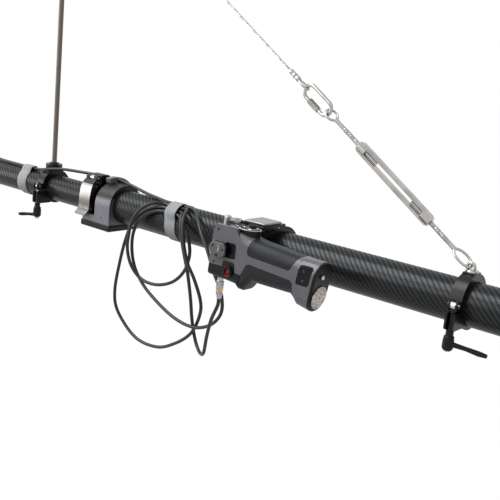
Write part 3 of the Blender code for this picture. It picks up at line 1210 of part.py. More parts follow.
def build_angle_plug(boom, finishes):
    """A right-angle plug on the head: an upright body and a barrel that points at the clamp."""
    x, y = ANGLE_PLUG_PLACE
    upright = turned("angle_plug", [(ANGLE_PLUG_RADIUS, 0), (ANGLE_PLUG_RADIUS, 0.85 * ANGLE_PLUG_HEIGHT),
                                    (0.8 * ANGLE_PLUG_RADIUS, ANGLE_PLUG_HEIGHT)],
                     finishes["silver"], boom, (x, y, ANGLE_PLUG_Z), count=MEDIUM_ROUND)
    turn = math.radians(ANGLE_PLUG_TURN)
    middle = ANGLE_PLUG_Z + 0.5 * ANGLE_PLUG_HEIGHT
    barrel = rod("angle_plug_barrel", 0.8 * ANGLE_PLUG_RADIUS, ANGLE_PLUG_REACH, None, boom, (x, y, middle),
                 (0, math.pi / 2, turn))
    join(upright, barrel)


def angle_cable_start():
    x, y = ANGLE_PLUG_PLACE
    turn = math.radians(ANGLE_PLUG_TURN)
    reach = ANGLE_PLUG_REACH + CLEARANCE
    middle = ANGLE_PLUG_Z + 0.5 * ANGLE_PLUG_HEIGHT
    return Vector((x + reach * math.cos(turn), y + reach * math.sin(turn), middle))


def build_rear_connector(rear, finishes):
    """The connector at the rear end of the boom cable, on a block that follows the tube."""
    height = REAR_RADIUS + CLEARANCE + REAR_CONNECTOR_RISE
    body = rod("rear_connector", REAR_CONNECTOR_RADIUS, REAR_CONNECTOR_LENGTH, finishes["black_metal"], rear,
               (REAR_CONNECTOR_X - REAR_CONNECTOR_LENGTH, 0, height), ALONG_X, MEDIUM_ROUND)
    half = REAR_CONNECTOR_RADIUS
    block = box("rear_connector_block", (-0.8 * REAR_CONNECTOR_LENGTH, -half, 0.5 * REAR_RADIUS),
                (-0.2 * REAR_CONNECTOR_LENGTH, half, height), None, rear, (REAR_CONNECTOR_X, 0, 0))
    seat = rod("rear_connector_cutter", REAR_RADIUS + CLEARANCE, 2 * REAR_CONNECTOR_LENGTH, None, rear,
               (REAR_CONNECTOR_X - 1.5 * REAR_CONNECTOR_LENGTH, 0, 0), ALONG_X, ROUND)
    join(body, block)
    cut(body, seat)


# Cables


def strand(angle, x):
    y, z = polar(STRAND_RADIUS, angle)
    return (x, y, z)


def through_strap(angle):
    return [strand(angle, RIGHT_STRAP_X - dx) for dx in (STRAND_STRAIGHT, 0, -STRAND_STRAIGHT)]


def build_cables(boom, finishes):
    jacket = finishes["cable"]
    first, second, third, last = STRAND_ANGLES
    joint = strand(first, RIGHT_STRAP_X - STRAND_STRAIGHT)
    lead = Vector((CLEARANCE / 2, 0, 0))
    height = REAR_RADIUS + CLEARANCE + REAR_CONNECTOR_RISE
    run = [(REAR_CONNECTOR_X + CLEARANCE, 0, height), (REAR_CONNECTOR_X + 2 * CABLE_RADIUS, 0, height),
           *BOOM_RUN, Vector(joint) - lead]
    cable("cable_boom_run", run, CABLE_RADIUS, RUN_POINTS, 2, jacket, boom)

    x, y = PLUG_PLACE
    plug_end = PLUG_SOCKET_Z - PLUG_BASE - PLUG_LENGTH - 2 * CLEARANCE
    loops = [Vector(joint) + lead, *through_strap(first)[1:], *LONG_LOOP, *through_strap(last), *SHORT_LOOP,
             *through_strap(second), *LOW_LOOP, *through_strap(third), *DROP,
             (x, y, plug_end - 3 * CABLE_RADIUS), (x, y, plug_end)]
    cable("cable_loops", loops, CABLE_RADIUS, LOOP_POINTS, 1, jacket, boom)
    short = [angle_cable_start(), *ANGLE_CABLE_ROUTE]
    cable("angle_cable", short, THIN_CABLE_RADIUS, ANGLE_CABLE_POINTS, 2, jacket, boom)


def main():
    clear_scene()
    finishes = {
        "carbon": material("carbon_tube", (0.03, 0.03, 0.033), 0.28),
        "polymer": material("bush_polymer", (0.10, 0.10, 0.10), 0.5),
        "black_metal": material("black_anodised", (0.02, 0.02, 0.022), 0.38, 0.6),
        "grey_metal": material("grey_anodised", (0.17, 0.16, 0.17), 0.42, 0.7),
        "silver": material("silver_lever", (0.62, 0.61, 0.60), 0.3, 0.9),
        "steel": material("stainless_steel", (0.70, 0.69, 0.67), 0.2, 1.0),
        "black_plastic": material("handle_plastic", (0.018, 0.018, 0.018), 0.45),
        "bronze_rod": material("mast_rod", (0.22, 0.19, 0.17), 0.35, 0.6),
        "webbing": material("grey_webbing", (0.20, 0.20, 0.21), 0.9),
        "rubber": material("grip_rubber", (0.03, 0.03, 0.032), 0.75),
        "grip_grey": material("grip_grey", (0.13, 0.135, 0.145), 0.5),
        "glass": material("status_glass", (0.01, 0.01, 0.012), 0.08),
        "disc_metal": material("end_disc", (0.42, 0.40, 0.35), 0.4, 0.8),
        "cable": material("cable_jacket", (0.012, 0.012, 0.013), 0.5),
    }
    boom = empty("boom_line", (0, 0, AXIS_HEIGHT))
    rear = empty("rear_section", (0, 0, 0), parent=boom)
    build_tubes(boom, rear, finishes)
    build_saddle(boom, finishes)
    build_latch(boom, finishes)
    stay_bolt = (STAY_BOLT_X, STAY_BOLT_Y)
    mast_bolt = (MAST_BOLT_X, MAST_BOLT_Y)
    build_clamp("stay", STAY_CLAMP_X, STAY_CLAMP_WIDTH, MAIN_RADIUS, STAY_EAR_REACH, stay_bolt, boom,
                finishes)
    mast_pad = build_clamp("mast", MAST_CLAMP_X, MAST_CLAMP_WIDTH, REAR_RADIUS, MAST_EAR_REACH, mast_bolt,
                           rear, finishes)
    build_handle("stay_clamp_handle", stay_bolt, STAY_HANDLE_TURN, STAY_HANDLE_REACH, STAY_HANDLE_LEVEL,
                 boom, finishes)
    build_handle("mast_clamp_handle", mast_bolt, MAST_HANDLE_TURN, MAST_HANDLE_REACH, MAST_HANDLE_LEVEL,
                 rear, finishes)
    build_mast(rear, mast_pad, finishes)
    build_stay(boom, rear, finishes)
    build_straps(boom, rear, finishes)
    build_grip_clamp(boom, finishes)
    build_grip(boom, finishes)
    build_controls(boom, finishes)
    build_connectors(boom, rear, finishes)
    build_cables(boom, finishes)


main()
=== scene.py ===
# %% [markdown]
# # Dressing a stayed carbon boom
# The boom exists as plain solids: two telescoping carbon tubes on a saddle, a mast with a wire stay,
# and a control grip on a clamp. This lesson gives those solids their finishes, swaps the ones that need
# a finer form, and adds the small pieces that the solids leave out. Everything is in metres, +Z is up,
# and the boom runs along X.

# %% The frame
import json
import math

import bmesh
import bpy
from mathutils import Matrix, Vector


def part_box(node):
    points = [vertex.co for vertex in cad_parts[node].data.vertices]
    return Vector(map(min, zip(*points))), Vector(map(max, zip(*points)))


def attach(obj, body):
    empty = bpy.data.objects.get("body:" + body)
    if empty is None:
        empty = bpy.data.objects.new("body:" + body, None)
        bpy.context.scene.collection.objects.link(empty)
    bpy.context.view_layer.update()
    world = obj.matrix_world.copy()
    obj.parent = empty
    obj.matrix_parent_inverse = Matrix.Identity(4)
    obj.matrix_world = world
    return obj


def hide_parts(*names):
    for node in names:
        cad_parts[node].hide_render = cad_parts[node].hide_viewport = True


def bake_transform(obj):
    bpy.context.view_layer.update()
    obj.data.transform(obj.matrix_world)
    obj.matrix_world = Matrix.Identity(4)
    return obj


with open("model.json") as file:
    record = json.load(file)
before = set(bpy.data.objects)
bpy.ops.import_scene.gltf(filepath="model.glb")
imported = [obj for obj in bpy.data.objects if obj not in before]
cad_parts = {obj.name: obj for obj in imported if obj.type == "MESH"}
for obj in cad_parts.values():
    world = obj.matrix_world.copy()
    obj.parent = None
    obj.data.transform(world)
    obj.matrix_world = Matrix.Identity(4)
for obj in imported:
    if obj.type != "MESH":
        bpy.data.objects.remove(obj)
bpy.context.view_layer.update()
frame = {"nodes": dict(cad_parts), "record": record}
nodes = frame["nodes"]
body_of_node = {n: body for body, members in frame["record"]["behaviour"]["bodies"].items() for n in members}
slot_of_node = {part["node"]: part["material_slot"] for part in frame["record"]["subparts"]}
scene = bpy.context.scene


def middle(node):
    low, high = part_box(node)
    return (low + high) / 2


# %% [markdown]
# ## Camera
# The camera stands in front of the grip, a little above the boom, and looks along it to the left, so
# the tube runs away from the right edge of the picture. Its place and its right and back directions
# are enough: the up direction is square to both.

# %% Camera
CAMERA_PLACE = Vector((0.927, -0.825, 0.271))
CAMERA_BACK = Vector((0.6038, -0.7639, 0.2276)).normalized()
CAMERA_RIGHT = Vector((0.7658, 0.6351, 0.0999))
CAMERA_LENS = 59.0

right = (CAMERA_RIGHT - CAMERA_RIGHT.dot(CAMERA_BACK) * CAMERA_BACK).normalized()
up = CAMERA_BACK.cross(right)
turn = Matrix((right, up, CAMERA_BACK)).transposed().to_4x4()
camera = bpy.data.objects.new("camera", bpy.data.cameras.new("camera"))
camera.data.lens = CAMERA_LENS
camera.matrix_world = Matrix.Translation(CAMERA_PLACE) @ turn
scene.collection.objects.link(camera)
scene.camera = camera
scene.view_settings.view_transform = "Standard"
print("camera looks along", [round(-x, 3) for x in CAMERA_BACK])

# %% [markdown]
# ## Sums on sockets
# A finish is a sum of patterns, and sums read best as Python expressions. `Field` wraps one socket of a
# node tree and overloads the operators, so that `1 - mask` adds a Math node. `Tree` adds every other
# node: its settings come first, because some of them change which sockets exist.


# %% Fields and trees
class Field:
    """A socket whose value changes over a surface, for use in Python sums."""

    def __init__(self, tree, socket):
        self.tree = tree
        self.socket = socket

    def math(self, operation, *others):
        sockets = dict(enumerate((self, *others)))
        return self.tree.add("ShaderNodeMath", {"operation": operation}, sockets)

    def __add__(self, other):
        return self.math("ADD", other)

    __radd__ = __add__

    def __mul__(self, other):
        return self.math("MULTIPLY", other)

    __rmul__ = __mul__

    def __sub__(self, other):
        return self.math("SUBTRACT", other)

    def __rsub__(self, other):
        return (self * -1) + other

    def __truediv__(self, other):
        return self.math("DIVIDE", other)

    def __lt__(self, other):
        return self.math("LESS_THAN", other)

    def ramp(self, low, high):
        """0 at low, 1 at high, with soft ends."""
        settings = {"interpolation_type": "SMOOTHSTEP"}
        sockets = {"Value": self, "From Min": low, "From Max": high}
        return self.tree.add("ShaderNodeMapRange", settings, sockets)


class Tree:
    """A node tree that is filled one node at a time."""

    def __init__(self, node_tree):
        self.node_tree = node_tree

    def add(self, kind, settings=None, sockets=None, out=0):
        """Adds a node, sets it up, fills its sockets by name or place, and returns one output."""
        node = self.node_tree.nodes.new(kind)
        for name, value in (settings or {}).items():
            setattr(node, name, value)
        for name, value in (sockets or {}).items():
            self.fill(node.inputs[name], value)
        return Field(self, node.outputs[out])

    def fill(self, socket, value):
        """Links a field, or several where the socket takes them, and sets anything else."""
        fields = value if isinstance(value, list) and isinstance(value[0], Field) else [value]
        for field in fields:
            if isinstance(field, Field):
                self.node_tree.links.new(field.socket, socket)
            else:
                socket.default_value = field


# %% [markdown]
# ## Light and floor
# The boom stands outdoors under a bright, even sky, so it is lit from all round, and more from above.
# The world gives that sky. A sun as wide as a patch of cloud gives the long highlight on top of the
# tubes, the same all along them, which a lamp nearby wouldn't, and it is a little blue. One soft lamp in
# front opens up the faces that look that way, and a low, warm one far to the left draws the band along the
# middle of the far tubes. World and floor are white where the camera, a reflection or glass sees them, and
# dimmer in the light they throw. The floor is bright mostly by its own glow, and it keeps the shadow.

# %% Stage
FLOOR_HEIGHT = -0.62
FLOOR_SIZE = 60.0
FLOOR_COLOUR = 0.20
FLOOR_GLOW = 0.84
SKY_LIGHT = 0.28
CLOUD_LIGHT = 2.3
CLOUD_COLOUR = (0.90, 0.95, 1.0)
CLOUD_WIDTH = math.radians(34)
CLOUD_FROM = Vector((-0.50, -0.35, 0.79))
FRONT_LAMP = (Vector((-0.7, -1.9, 1.1)), Vector((0.2, 0.0, 0.05)))
FRONT_SIZE = 1.0
FRONT_POWER = 14
LEFT_LAMP = (Vector((-1.9, -1.25, 0.35)), Vector((-0.2, 0.0, 0.05)))
LEFT_SIZE = 0.9
LEFT_POWER = 12
LEFT_COLOUR = (1.0, 0.95, 0.90)


def seen(tree):
    """1 where the camera, a reflection or glass looks, and 0 for scattered light."""
    rays = [tree.add("ShaderNodeLightPath", out=name) for name in
            ("Is Camera Ray", "Is Glossy Ray", "Is Transmission Ray")]
    return rays[0].math("MAXIMUM", rays[1]).math("MAXIMUM", rays[2])


def grey(level, warm=0.0):
    """A grey of that level: warm above 0 leans to yellow, below 0 to blue."""
    return (level * (1 + warm), level, level * (1 - warm), 1)


def build_world():
    world = bpy.data.worlds.new("bright_sky")
    world.use_nodes = True
    tree = Tree(world.node_tree)
    background = world.node_tree.nodes["Background"]
    tree.fill(background.inputs["Color"], grey(1))
    tree.fill(background.inputs["Strength"], SKY_LIGHT + (1 - SKY_LIGHT) * seen(tree))
    scene.world = world


def build_floor():
    mesh = bpy.data.meshes.new("floor")
    half = FLOOR_SIZE / 2
    corners = [(-half, -half), (half, -half), (half, half), (-half, half)]
    mesh.from_pydata([(x, y, FLOOR_HEIGHT) for x, y in corners], [], [(0, 1, 2, 3)])
    floor = bpy.data.objects.new("floor", mesh)
    scene.collection.objects.link(floor)
    paint = bpy.data.materials.new("pale_floor")
    paint.use_nodes = True
    tree = Tree(paint.node_tree)
    inputs = paint.node_tree.nodes["Principled BSDF"].inputs
    glow = FLOOR_GLOW * seen(tree)
    tree.fill(inputs["Base Color"], grey(FLOOR_COLOUR))
    tree.fill(inputs["Roughness"], 0.9)
    tree.fill(inputs["Specular IOR Level"], 0.0)
    tree.fill(inputs["Emission Color"], tree.add("ShaderNodeCombineColor", None, {0: glow, 1: glow, 2: glow}))
    tree.fill(inputs["Emission Strength"], 1.0)
    mesh.materials.append(paint)


def add_lamp(name, kind, place, target, **settings):
    data = bpy.data.lights.new(name, kind)
    for setting, value in settings.items():
        setattr(data, setting, value)
    lamp = bpy.data.objects.new(name, data)
    lamp.location = place
    lamp.rotation_euler = (target - place).to_track_quat("-Z", "Y").to_euler()
    scene.collection.objects.link(lamp)


build_world()
build_floor()
add_lamp("cloud", "SUN", CLOUD_FROM, Vector(), energy=CLOUD_LIGHT, angle=CLOUD_WIDTH, color=CLOUD_COLOUR)
add_lamp("front", "AREA", *FRONT_LAMP, energy=FRONT_POWER, size=FRONT_SIZE)
add_lamp("left", "AREA", *LEFT_LAMP, energy=LEFT_POWER, size=LEFT_SIZE, color=LEFT_COLOUR)
print("floor at", FLOOR_HEIGHT, "m")

# %% [markdown]
# ## Finishes
# Each finish is a material named for what it is on the boom. They all start from the same few parts:
# Object coordinates, so that a pattern is the same size everywhere, noise for what is uneven, and bump
# for what is too fine to model. `Finish` keeps the Principled shader and those parts at hand.


# %% Finish helper
class Finish(Tree):
    """A material with its Principled shader and the patterns that most finishes share."""

    def __init__(self, name):
        self.material = bpy.data.materials.new(name)
        self.material.use_nodes = True
        super().__init__(self.material.node_tree)
        self.shader = self.node_tree.nodes["Principled BSDF"]

    def set(self, **values):
        """Fills the shader's sockets: base_color=... fills Base Color."""
        for name, value in values.items():
            words = name.replace("ior", "IOR").split("_")
            self.fill(self.shader.inputs[" ".join(w if w.isupper() else w.title() for w in words)], value)

    def place(self):
        return self.add("ShaderNodeTexCoord", out="Object")

    def axes(self, vector):
        return [self.add("ShaderNodeSeparateXYZ", None, {0: vector}, out) for out in "XYZ"]

    def noise(self, scale, detail=2.0, stretch=(1, 1, 1)):
        """Noise with `scale` bumps to the metre, squeezed by `stretch` along X, Y and Z."""
        spread = self.add("ShaderNodeMapping", None, {"Vector": self.place(), "Scale": stretch})
        return self.add("ShaderNodeTexNoise", None, {"Vector": spread, "Scale": scale, "Detail": detail})

    def mix(self, factor, first, second):
        """A colour between two colours."""
        sockets = {"Factor": factor, 6: first, 7: second}
        return self.add("ShaderNodeMix", {"data_type": "RGBA"}, sockets, 2)

    def bump(self, height, depth, strength=1.0):
        sockets = {"Height": height, "Distance": depth, "Strength": strength}
        self.fill(self.shader.inputs["Normal"], self.add("ShaderNodeBump", None, sockets))

    def edges(self, radius):
        """0 on open faces, rising to 1 where the surface turns a corner within the radius."""
        rounded = self.add("ShaderNodeBevel", {"samples": 6}, {"Radius": radius})
        plain = self.add("ShaderNodeNewGeometry", out="Normal")
        settings = {"operation": "DOT_PRODUCT"}
        facing = self.add("ShaderNodeVectorMath", settings, {0: rounded, 1: plain}, "Value")
        return (1 - facing).ramp(0.03, 0.25)


def lighter(colour, times):
    return (*(c * times for c in colour[:3]), 1)


# %% [markdown]
# ### Carbon
# The tubes are wound in a 2/2 twill: each tow passes over two and under two, one step further each
# row, which makes the diagonal ribs. The maths is short. Measure the surface in tows along the tube and
# round it, take the whole numbers, and their difference modulo 4 says which tow is on top. A whole
# number of repeats goes round, so the weave has no seam. The tows that run round the tube catch more
# light than those along it, and that is painted into the base colour as a lighter tone, a painted sheen,
# which is what draws the ribs. Each tow is also painted darker towards its edges: painted shade in the
# grooves between tows. A thin satin coat lies over the top, heavier where the painted sheen is.

# %% Carbon
TUBE_AXIS_HEIGHT = middle("main_tube").z
MAIN_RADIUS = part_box("main_tube")[1].y
REAR_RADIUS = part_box("rear_tube")[1].y
TOW = 0.0018


def carbon(name, radius):
    finish = Finish(name)
    x, y, z = finish.axes(finish.place())
    turn = (y * -1).math("ARCTAN2", z - TUBE_AXIS_HEIGHT) / (2 * math.pi)
    tows_round = 4 * round(2 * math.pi * radius / TOW / 4)
    along = x / TOW
    round_tube = turn * tows_round
    over = (along.math("FLOOR") - round_tube.math("FLOOR")).math("FLOORED_MODULO", 4) < 2
    crown_along = 1 - ((round_tube.math("FRACT") - 0.5) * 2).math("POWER", 2)
    crown_round = 1 - ((along.math("FRACT") - 0.5) * 2).math("POWER", 2)
    crown = over * crown_along + (1 - over) * crown_round
    fibres = over * finish.noise(900, 2, (0.12, 1, 1)) + (1 - over) * finish.noise(900, 2, (1, 0.12, 0.12))
    cloud = finish.noise(14, 2)
    # Painted sheen on the tows that run round, painted shade at each tow's edges, and real tone from fibres
    # and clouds.
    tone_and_painted_sheen = (over * 0.15 + (1 - over) * 0.78 + fibres * 0.3 - 0.15 + cloud * 0.12) * crown.ramp(-0.3, 0.6)
    finish.set(base_color=finish.mix(tone_and_painted_sheen, grey(0.002), grey(0.032, -0.08)),
               roughness=0.26 + 0.24 * over + 0.12 * fibres, specular_ior_level=0.08,
               coat_weight=0.10 + 0.28 * tone_and_painted_sheen, coat_roughness=0.24)
    finish.bump(crown + fibres * 0.3, 0.00012, 0.45)
    return finish.material


# %% [markdown]
# ### Anodised and bare metal
# Anodised parts are blasted before they are dyed, so they have a fine even grain, and the dye wears
# through to bright metal on corners. The Bevel node finds the corners: where a rounded normal and the
# plain one disagree, there is an edge. Bare steel has no dye to wear, only fine scratches and haze.


# %% Metals
def anodised(name, colour, worn, roughness, metallic, wear=0.5, specular=0.3, band=None):
    """Dyed metal; `band` is (low, high, blur, colour) for a band of heights darkened by painted shade."""
    finish = Finish(name)
    grain = finish.noise(2600, 3)
    patch = finish.noise(38, 3)
    corner = finish.edges(0.0006) * finish.noise(260, 4).ramp(0.45, 0.7) * wear
    dye_and_painted_shade = finish.mix(patch * 0.6, colour, lighter(colour, 1.5))
    # A band of heights painted darker: painted shade, used over the saddle's arch.
    if band:
        low, high, blur, dark = band
        height = finish.axes(finish.place())[2]
        painted_shade = height.ramp(low, low + blur) * (1 - height.ramp(high - 0.2 * blur, high))
        dye_and_painted_shade = finish.mix(painted_shade, dye_and_painted_shade, dark)
    finish.set(base_color=finish.mix(corner, dye_and_painted_shade, worn), metallic=metallic, specular_ior_level=specular,
               roughness=roughness + 0.18 * (patch - 0.5) + 0.10 * (grain - 0.5))
    finish.bump(grain, 0.00004, 0.35)
    return finish.material


def bare_metal(name, colour, roughness, scratch=(1, 1, 1), depth=0.00003):
    finish = Finish(name)
    lines = finish.noise(1800, 4, scratch)
    haze = finish.noise(55, 3)
    finish.set(base_color=finish.mix(haze.ramp(0.35, 0.75), colour, lighter(colour, 0.72)), metallic=1.0,
               roughness=roughness + 0.16 * (haze - 0.4) + 0.12 * (lines - 0.5))
    finish.bump(lines, depth, 0.3)
    return finish.material


# %% [markdown]
# A few parts need a little more. The latch's lever is satin, but its cam is black, and the border lies at
# one height. Lower down the satin is painted darker towards the bottom: painted shade. The stay clamp's
# bolt is the other way round, black with a bright pin. The disc on the grip's end shows the rings that
# the tool left, so its shade goes by the distance from its centre.

# %% Lever and disc
TONE_BLUR = 0.0004


def two_tone(name, border, silver, black, silver_above=False):
    """Satin metal that is black past a height: above the border, or below it. The satin has painted shade,
    darker towards the bottom.
    """
    finish = Finish(name)
    height = finish.axes(finish.place())[2]
    dark = height.ramp(border - TONE_BLUR, border + TONE_BLUR)
    if silver_above:
        dark = 1 - dark
    haze = finish.noise(55, 3)
    lines = finish.noise(1500, 4, (0.1, 1, 1))
    # Painted shade: the satin darkens towards the bottom.
    painted_shade_low = 1 - height.ramp(0.4 * border, 0.9 * border)
    satin = finish.mix(haze * 0.3 + painted_shade_low * 0.8, silver, lighter(silver, 0.3))
    finish.set(base_color=finish.mix(dark, satin, black), metallic=1 - 0.9 * dark, specular_ior_level=0.25,
               roughness=0.30 + 0.16 * (haze - 0.4) + 0.12 * (lines - 0.5) + 0.1 * dark)
    finish.bump(lines, 0.00003, 0.3)
    return finish.material


def turned_metal(name, colour, centre, ring):
    finish = Finish(name)
    _, y, z = finish.axes(finish.place())
    out = ((y - centre.y).math("POWER", 2) + (z - centre.z).math("POWER", 2)).math("SQRT")
    rings = (out * (2 * math.pi / ring)).math("SINE") * 0.5 + 0.5
    marks = finish.noise(330, 5).ramp(0.44, 0.60)
    shade = rings * 0.35 + marks * 0.65
    finish.set(base_color=finish.mix(shade, lighter(colour, 0.26), colour), metallic=1.0,
               roughness=0.30 + 0.2 * marks)
    finish.bump(rings + marks * 0.5, 0.00008, 0.5)
    return finish.material


# %% [markdown]
# ### Mouldings, rubber and cable
# Moulded plastic copies the grain of its tool, so its bump is finer than its shape. Rubber is the same
# with a softer, rougher surface. The cable's jacket is smooth, with the slow unevenness of an extrusion
# and the dust that a cable picks up.


# %% Plastics
def moulded(name, colour, roughness, grain_scale=1900, depth=0.00006, specular=0.5, behind=None):
    """A moulding; `behind` is (y, colour) for what lies behind a border."""
    finish = Finish(name)
    grain = finish.noise(grain_scale, 3)
    rub = finish.noise(45, 4)
    shade = finish.mix(rub.ramp(0.4, 0.8) * 0.4, colour, lighter(colour, 1.4))
    if behind:
        border, other = behind
        depth_in = finish.axes(finish.place())[1]
        shade = finish.mix(depth_in.ramp(border - 0.0003, border + 0.0003), shade, other)
    finish.set(base_color=shade,
               roughness=roughness + 0.2 * (rub - 0.5) + 0.12 * (grain - 0.5), specular_ior_level=specular)
    finish.bump(grain, depth, 0.5)
    return finish.material


def jacket(name, colour):
    finish = Finish(name)
    slow = finish.noise(70, 3)
    dust = finish.noise(1500, 4).ramp(0.58, 0.8)
    finish.set(base_color=finish.mix(dust * 0.35, colour, grey(0.06)), specular_ior_level=0.42,
               roughness=0.30 + 0.20 * slow + 0.1 * dust)
    finish.bump(slow, 0.0003, 0.25)
    return finish.material


def smoked_glass(name):
    finish = Finish(name)
    smear = finish.noise(120, 4)
    finish.set(base_color=finish.mix(smear * 0.4, grey(0.002), grey(0.006)), roughness=0.10 + 0.12 * smear,
               specular_ior_level=0.2)
    return finish.material


# %% [markdown]
# ### Hook-and-loop tape
# The straps show the soft side of the tape. A ground weave of fine ribs runs along it, and loops of
# yarn stand on the ribs as a short fuzz. The low parts of the pile are painted darker: painted shade
# between the loops. The pattern follows the strap, so it reads the UV map, which the strap carries in
# metres: U along the tape and V across it.

# %% Tape
TAPE_RIB = 0.0011


def tape(name, colour):
    finish = Finish(name)
    along, across, _ = finish.axes(finish.add("ShaderNodeUVMap", {"uv_map": "tape"}))
    ribs = ((across / TAPE_RIB) * (2 * math.pi)).math("SINE") * 0.5 + 0.5
    steps = along / TAPE_RIB + (across / TAPE_RIB).math("FLOOR") * 0.5
    picks = (steps * (2 * math.pi)).math("SINE") * 0.5 + 0.5
    fuzz = finish.noise(2400, 5)
    tired = finish.noise(60, 3)
    pile = ribs * 0.35 + picks * 0.25 + fuzz * 0.6
    top = finish.mix(tired, colour, lighter(colour, 1.3))
    # Painted shade: the base colour darkens where the pile is low.
    finish.set(base_color=finish.mix(pile.ramp(0.3, 1.0), lighter(colour, 0.55), top), roughness=0.92,
               sheen_weight=0.35, sheen_roughness=0.5)
    finish.bump(pile, 0.0003, 0.8)
    return finish.material


# %% [markdown]
# ### One finish for each slot
# The record names a slot for every node, so one table of finishes by slot dresses the whole boom. Six
# nodes have a finish of their own: the rear tube is thinner, so it needs its own count of tows, the lever
# and a bolt are in two tones, and the lever has painted shade towards its foot, the rail plate is near
# black behind its front face, the saddle has painted shade over its arch, and the cap on the clamp is
# paler than the block under it. The gilt is for contacts.

# %% Finishes by slot
GRIP_GREY = (0.118, 0.116, 0.128, 1)
LEVER_BORDER = 0.0636
RAIL_BORDER = -0.0966
SADDLE_GREY = (0.165, 0.160, 0.180, 1)
# The saddle's arch is painted darker between these heights: painted shade.
SADDLE_PAINTED_SHADE = (0.0440, 0.0690, 0.0080, (0.020, 0.017, 0.015, 1))
STUD_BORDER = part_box("stay_clamp_stud")[1].z - 0.0068
finishes = {
    "carbon": carbon("carbon_main", MAIN_RADIUS),
    "bush_polymer": moulded("bush_polymer", grey(0.08), 0.5),
    "black_anodised": anodised("black_anodised", grey(0.006, -0.03), grey(0.22), 0.30, 0.15, 0.40, 0.26),
    "grey_anodised": anodised("grey_anodised", (0.122, 0.119, 0.146, 1), grey(0.40), 0.42, 0.25),
    "silver_lever": bare_metal("silver_satin", grey(0.44, 0.03), 0.28),
    "stainless_steel": bare_metal("stainless_steel", grey(0.45, 0.04), 0.13),
    "handle_plastic": moulded("handle_plastic", grey(0.004), 0.40, specular=0.2),
    "bronze_rod": anodised("bronze_rod", (0.17, 0.142, 0.125, 1), grey(0.4), 0.36, 0.4),
    "grey_webbing": tape("grey_tape", grey(0.50, -0.01)),
    "grip_rubber": moulded("grip_rubber", grey(0.012, -0.14), 0.48, 2300, 0.00008, 0.22),
    "grip_grey": moulded("grip_grey", GRIP_GREY, 0.36, 1700, 0.00005, 0.45),
    "status_glass": smoked_glass("status_glass"),
    "end_disc": turned_metal("turned_disc", (0.66, 0.62, 0.54, 1), middle("grip_end_disc"), 0.0011),
    "red_ring": anodised("red_ring", (0.60, 0.010, 0.014, 1), grey(0.4), 0.3, 0.1, 0.1),
    "cable_jacket": jacket("cable_jacket", grey(0.008, -0.08)),
}
own_finishes = {
    "rear_tube": carbon("carbon_rear", REAR_RADIUS),
    "latch_lever": two_tone("lever_satin", LEVER_BORDER, grey(0.36, 0.03), grey(0.008)),
    "stay_clamp_stud": two_tone("bolt_black", STUD_BORDER, grey(0.55, 0.02), grey(0.008), True),
    "saddle_block": anodised("saddle_grey", SADDLE_GREY, grey(0.40), 0.40, 0.25, band=SADDLE_PAINTED_SHADE),
    "grip_clamp_cap": anodised("cap_satin", grey(0.22, -0.03), grey(0.40), 0.30, 0.7),
    "rail_plate": moulded("rail_grey", GRIP_GREY, 0.42, 1700, 0.00005, 0.3, (RAIL_BORDER, grey(0.006))),
}
gilt = bare_metal("contact_gilt", (0.55, 0.36, 0.19, 1), 0.25)
print(len(finishes) + len(own_finishes) + 1, "finishes")

# %% [markdown]
# ## Shaping helpers
# Most pieces here are turned, bent from round wire, or cut from another piece. `lathe` spins a profile
# about a line, `tube` carries a ring along a path, and `carve` cuts one closed shape from a piece or
# joins it on. Every piece stays at the origin with its place in its mesh, as the solids do.

# %% Objects
FRONT = Vector((0, -1, 0))
RIGHTWARD = Vector((1, 0, 0))
DOWN = Vector((0, 0, -1))
CORNER_ANGLE = math.radians(32)


def link(name, shape):
    """An object at the origin from a bmesh."""
    mesh = bpy.data.meshes.new(name)
    shape.to_mesh(mesh)
    shape.free()
    piece = bpy.data.objects.new(name, mesh)
    scene.collection.objects.link(piece)
    return piece


def smooth(piece):
    piece.data.shade_smooth()
    piece.data.set_sharp_from_angle(angle=CORNER_ANGLE)


def form(name, shape):
    """A smooth piece from a bmesh."""
    piece = link(name, shape)
    smooth(piece)
    return piece


def settle(piece):
    """Turns what the modifiers make into the piece's own mesh."""
    evaluated = piece.evaluated_get(bpy.context.evaluated_depsgraph_get())
    made = bpy.data.meshes.new_from_object(evaluated)
    made.name = piece.name
    piece.modifiers.clear()
    piece.data = made


def carve(piece, shape, operation="DIFFERENCE"):
    """Cuts a closed bmesh out of a piece, or joins it on with UNION."""
    tool = link("carving_tool", shape)
    boolean = piece.modifiers.new("carve", "BOOLEAN")
    boolean.operation = operation
    boolean.solver = "EXACT"
    boolean.object = tool
    settle(piece)
    bpy.data.objects.remove(tool)


def round_corners(piece, width):
    bevel = piece.modifiers.new("corners", "BEVEL")
    bevel.width = width
    bevel.segments = 2
    bevel.limit_method = "ANGLE"
    bevel.angle_limit = CORNER_ANGLE
    even = piece.modifiers.new("even_shading", "WEIGHTED_NORMAL")
    even.keep_sharp = True
    settle(piece)


def coat(piece, slot, finish=None):
    """Gives a piece its finish, the one for its slot unless another is given."""
    piece.data.materials.clear()
    piece.data.materials.append(finish or finishes[slot])
    return piece


def ride(piece, body, slot, finish=None):
    """Gives a piece its finish, by its slot, and its body."""
    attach(coat(piece, slot, finish), body)
    return piece


def stand_for(piece, *named, finish=None):
    """The piece takes the place of these nodes, on their body and in their finish."""
    ride(piece, body_of_node[named[0]], slot_of_node[named[0]], finish)
    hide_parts(*named)
    return piece


# %% Turned and bent shapes
def turns(steps):
    """Evenly spaced angles of a full turn."""
    return [2 * math.pi * k / steps for k in range(steps)]


